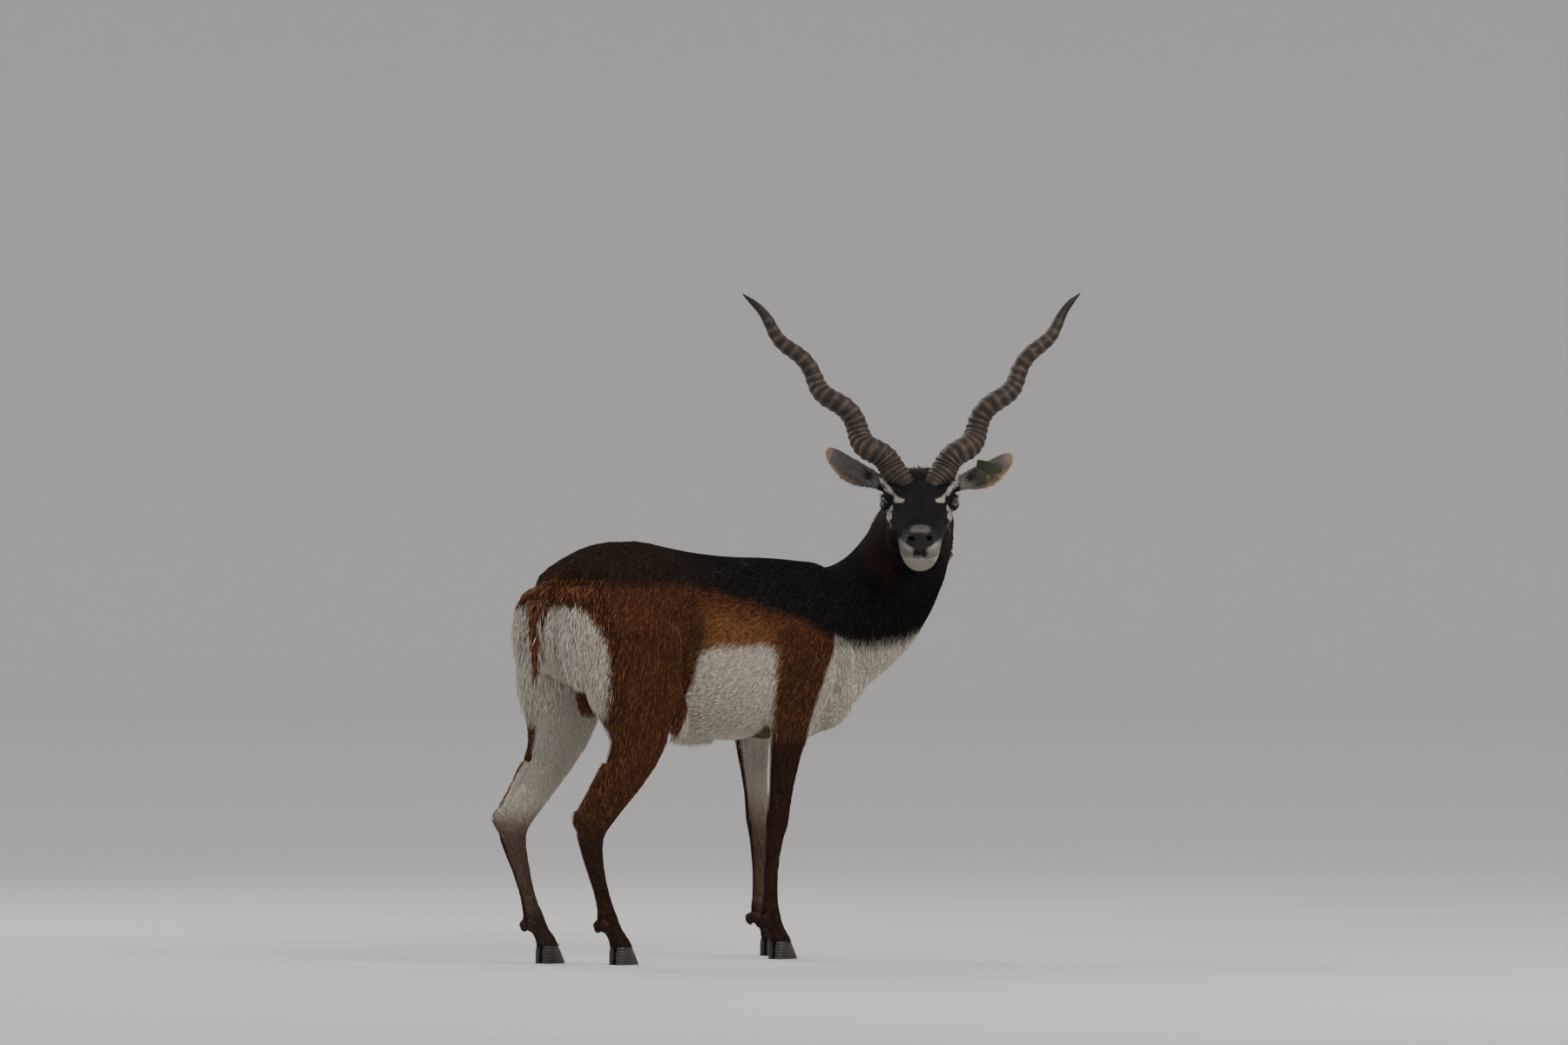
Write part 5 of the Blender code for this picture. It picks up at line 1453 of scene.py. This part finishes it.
def attribute_colour(material, name):
    node = material.node_tree.nodes.new("ShaderNodeAttribute")
    node.attribute_name = name
    return node


def coat_material():
    """Hair: the tuft's own colour with a soft sheen."""
    material, shader = new_material("coat_hair", 0.62)
    colour = attribute_colour(material, "coat")
    material.node_tree.links.new(colour.outputs["Color"], shader.inputs["Base Color"])
    shader.inputs["Specular IOR Level"].default_value = 0.10
    shader.inputs["Sheen Weight"].default_value = 0.02
    return material


def skin_material():
    """Skin under the coat in the coat's colours; wet-looking black where it is bare."""
    material, shader = new_material("skin", 0.75)
    nodes, links = material.node_tree.nodes, material.node_tree.links
    colour = attribute_colour(material, "coat")
    bare = attribute_colour(material, "bare")
    rough = nodes.new("ShaderNodeMapRange")
    rough.inputs["To Min"].default_value = 0.75
    rough.inputs["To Max"].default_value = 0.42
    links.new(bare.outputs["Fac"], rough.inputs["Value"])
    links.new(rough.outputs["Result"], shader.inputs["Roughness"])
    links.new(colour.outputs["Color"], shader.inputs["Base Color"])
    shader.inputs["Specular IOR Level"].default_value = 0.3
    add_bump(material, shader, 900.0, 0.0004)
    return material


def ramp(material, value, stops):
    node = material.node_tree.nodes.new("ShaderNodeValToRGB")
    elements = node.color_ramp.elements
    while len(elements) < len(stops):
        elements.new(0.5)
    for element, (place, colour) in zip(elements, stops):
        element.position = place
        element.color = (*colour, 1)
    material.node_tree.links.new(value, node.inputs["Fac"])
    return node.outputs["Color"]


def horn_material():
    """Dark horn, the crests of its rings paler and worn, with fine cracks along it."""
    material, shader = new_material("horn_keratin", 0.50)
    nodes, links = material.node_tree.nodes, material.node_tree.links
    ridge = attribute_colour(material, "ridge")
    noise = add_bump(material, shader, 330.0, 0.0007)
    place = nodes.new("ShaderNodeTexCoord")
    blotch = nodes.new("ShaderNodeTexNoise")
    blotch.inputs["Scale"].default_value = 45.0
    blotch.inputs["Detail"].default_value = 3
    links.new(place.outputs["Object"], blotch.inputs["Vector"])
    worn = calculate(material.node_tree, "MULTIPLY_ADD", ridge.outputs["Fac"], 0.55, 0.05)
    worn = calculate(material.node_tree, "MULTIPLY", worn, noise.outputs["Fac"])
    worn = calculate(material.node_tree, "MULTIPLY_ADD", blotch.outputs["Fac"], 0.35, worn)
    links.new(ramp(material, worn, [(0.18, (0.014, 0.010, 0.008)), (0.34, (0.034, 0.023, 0.016)),
                                    (0.56, (0.105, 0.068, 0.042))]), shader.inputs["Base Color"])
    shader.inputs["Specular IOR Level"].default_value = 0.35
    return material


def eye_material():
    """A dark brown iris with a level pupil under a clear glossy front."""
    material, shader = new_material("eye_glass", 0.06)
    nodes, links = material.node_tree.nodes, material.node_tree.links
    gaze = attribute_colour(material, "gaze")
    offset = nodes.new("ShaderNodeVectorMath")
    offset.operation = "SUBTRACT"
    offset.inputs[1].default_value = (0.5, 0.5, 0.5)
    links.new(gaze.outputs["Color"], offset.inputs[0])
    squash = nodes.new("ShaderNodeVectorMath")
    squash.operation = "MULTIPLY"
    squash.inputs[1].default_value = (2.0, 3.4, 0.0)
    links.new(offset.outputs["Vector"], squash.inputs[0])
    away = nodes.new("ShaderNodeVectorMath")
    away.operation = "LENGTH"
    links.new(squash.outputs["Vector"], away.inputs[0])
    links.new(ramp(material, away.outputs["Value"],
                   [(0.0, (0.002, 0.002, 0.002)), (0.42, (0.002, 0.002, 0.002)),
                    (0.50, (0.022, 0.010, 0.005)),
                    (0.85, (0.010, 0.006, 0.004))]), shader.inputs["Base Color"])
    shader.inputs["Coat Weight"].default_value = 1.0
    shader.inputs["Coat Roughness"].default_value = 0.02
    return material


def lash_material():
    """Stiff black hair."""
    return new_material("lash_hair", 0.45, (0.012, 0.010, 0.009))[0]


def hoof_material():
    """Dark hoof horn with fine growth ridges round it."""
    material, shader = new_material("hoof_keratin", 0.38)
    nodes, links = material.node_tree.nodes, material.node_tree.links
    place = nodes.new("ShaderNodeTexCoord")
    wave = nodes.new("ShaderNodeTexWave")
    wave.bands_direction = "Z"
    wave.inputs["Scale"].default_value = 60.0
    wave.inputs["Distortion"].default_value = 3.0
    links.new(place.outputs["Object"], wave.inputs["Vector"])
    bump = nodes.new("ShaderNodeBump")
    bump.inputs["Distance"].default_value = 0.0006
    links.new(wave.outputs["Fac"], bump.inputs["Height"])
    links.new(bump.outputs["Normal"], shader.inputs["Normal"])
    links.new(ramp(material, wave.outputs["Fac"],
                   [(0.0, (0.016, 0.014, 0.013)), (1.0, (0.040, 0.034, 0.030))]),
              shader.inputs["Base Color"])
    return material


def tag_material():
    """Dull dark green plastic, faintly scuffed, with its worn rim paler."""
    material, shader = new_material("tag_plastic", 0.42)
    noise = add_bump(material, shader, 160.0, 0.0003)
    links = material.node_tree.links
    rim = attribute_colour(material, "rim")
    shade = calculate(material.node_tree, "MULTIPLY_ADD", rim.outputs["Fac"], 0.75, 0.0)
    shade = calculate(material.node_tree, "MULTIPLY_ADD", noise.outputs["Fac"], 0.25, shade)
    links.new(ramp(material, shade, [(0.05, (0.012, 0.017, 0.007)), (0.25, (0.028, 0.040, 0.012)),
                                     (0.85, (0.080, 0.100, 0.022))]), shader.inputs["Base Color"])
    return material


# The set

def floor_and_backdrop():
    """A wide pale floor whose rim rises into a plain backdrop on every side."""
    profile = [(0.0, 0.0), (2.0, 0.0), (8.0, 0.0), (FLOOR_RADIUS, 0.0)]
    profile += [(FLOOR_RADIUS + COVE_RADIUS * math.sin(a), COVE_RADIUS - COVE_RADIUS * math.cos(a))
                for a in np.linspace(0.1, math.pi / 2, 12)]
    profile.append((FLOOR_RADIUS + COVE_RADIUS, BACKDROP_HEIGHT))
    angles = 2 * np.pi * np.arange(96) / 96
    points = [(r * math.cos(a), r * math.sin(a), height) for r, height in profile[1:] for a in angles]
    points.append((0, 0, 0))
    count = len(angles)
    faces = [(len(points) - 1, k, (k + 1) % count) for k in range(count)]
    for i in range(len(profile) - 2):
        low, high = i * count, (i + 1) * count
        faces += [(low + k, high + k, high + (k + 1) % count, low + (k + 1) % count) for k in range(count)]
    floor = mesh_object("floor", points, faces)
    material, _ = new_material("floor_paper", 0.9, FLOOR_GREY)
    floor.data.materials.append(material)
    floor.data.shade_smooth()


def area_light(name, place, aim, size, power, colour):
    light = bpy.data.lights.new(name, "AREA")
    light.shape = "DISK"
    light.size = size
    light.energy = power
    light.color = colour
    obj = bpy.data.objects.new(name, light)
    bpy.context.scene.collection.objects.link(obj)
    obj.location = place
    obj.rotation_euler = (Vector(aim) - Vector(place)).to_track_quat("-Z", "Y").to_euler()
    return obj


def lights_and_camera():
    to_camera = Vector((-math.sin(-CAMERA_AZIMUTH), -math.cos(CAMERA_AZIMUTH), 0))
    right = Vector((-to_camera.y, to_camera.x, 0))
    aim = (0, 0, 0.75)
    area_light("key", to_camera * 2.6 + right * 2.6 + Vector((0, 0, 3.4)), aim, 2.4, 105, (1.0, 0.93, 0.84))
    area_light("fill", to_camera * 3.4 - right * 3.2 + Vector((0, 0, 2.0)), aim, 3.0, 25, (0.93, 0.96, 1.0))
    area_light("rim", -to_camera * 2.2 - right * 2.0 + Vector((0, 0, 3.0)), aim, 1.8, 50, (1.0, 0.98, 0.95))
    world = bpy.data.worlds.new("studio")
    world.use_nodes = True
    world.node_tree.nodes["Background"].inputs["Color"].default_value = (0.90, 0.885, 0.88, 1)
    world.node_tree.nodes["Background"].inputs["Strength"].default_value = 0.78
    bpy.context.scene.world = world
    lens = bpy.data.cameras.new("camera")
    lens.sensor_width = SENSOR_WIDTH
    lens.lens = SENSOR_WIDTH * CAMERA_DISTANCE / FRAME_WIDTH
    lens.clip_end = 100
    camera = bpy.data.objects.new("camera", lens)
    bpy.context.scene.collection.objects.link(camera)
    target = right * FRAME_CENTRE[0] + Vector((0, 0, FRAME_CENTRE[1]))
    camera.location = target + to_camera * CAMERA_DISTANCE
    camera.rotation_euler = (target - camera.location).to_track_quat("-Z", "Y").to_euler()
    bpy.context.scene.camera = camera


# Everything together

def add_ears_and_lids(skin):
    """Fuses the ears and the eyelids with the skin, one at a time."""
    shapes = [ear_shape(name) for name in SIDES] + [lid_shell(name) for name in SIDES]
    for shape in shapes:
        part = outwards(mesh_object("fused_shape", *shape))
        union = skin.modifiers.new("fuse", "BOOLEAN")
        union.operation = "UNION"
        union.object = part
        union.solver = "MANIFOLD"
        bake(skin)
        bpy.data.objects.remove(part)
    return largest_piece(skin)


def paint_skin(skin):
    points, _ = read_mesh(skin.data)
    normals = read_normals(skin.data)
    bare = bare_share(points)
    colours = coat_colour(points, normals) * 0.80
    colours = colours + (np.array(NOSE_BLACK) - colours) * bare[:, None]
    add_colours(skin.data, "coat", colours)
    add_colours(skin.data, "bare", np.repeat(bare[:, None], 3, axis=1))


def build():
    skin = add_ears_and_lids(fused_skin())
    paint_skin(skin)
    make_coat(skin, coat_material())
    finish_piece(skin, skin_material(),
                 nodes=FLESH + ["tail"] + ["ear_" + name for name in SIDES])
    horn, eye, hoof, hair = horn_material(), eye_material(), hoof_material(), lash_material()
    horn_rule, bristle_rule = horn_tree(), bristle_tree()
    roots, ways = whisker_roots(skin, np.random.default_rng(SEED))
    whiskers = bristles("whiskers", roots, ways, WHISKER_WIDTH, bristle_rule, hair)
    finish_piece(whiskers, hair)
    for name, side in SIDES.items():
        finish_piece(horn_mesh(name, horn_rule, horn), horn, nodes=["horn_" + name])
        roots, ways = lash_roots(name)
        lashes = bristles("lashes_" + name, roots, ways, LASH_WIDTH, bristle_rule, hair)
        finish_piece(lashes, hair)
        finish_piece(eye_mesh(name), eye, nodes=["eye_" + name])
        for leg in ("fore", "hind"):
            for place, way in (("outer", side), ("inner", -side)):
                node = "claw_%s_%s_%s" % (leg, name, place)
                finish_piece(claw_mesh(node, way), hoof, nodes=[node], smooth_angle=40)
    finish_piece(tag_mesh(), tag_material(), nodes=["ear_tag"], smooth_angle=40)


build()
floor_and_backdrop()
lights_and_camera()
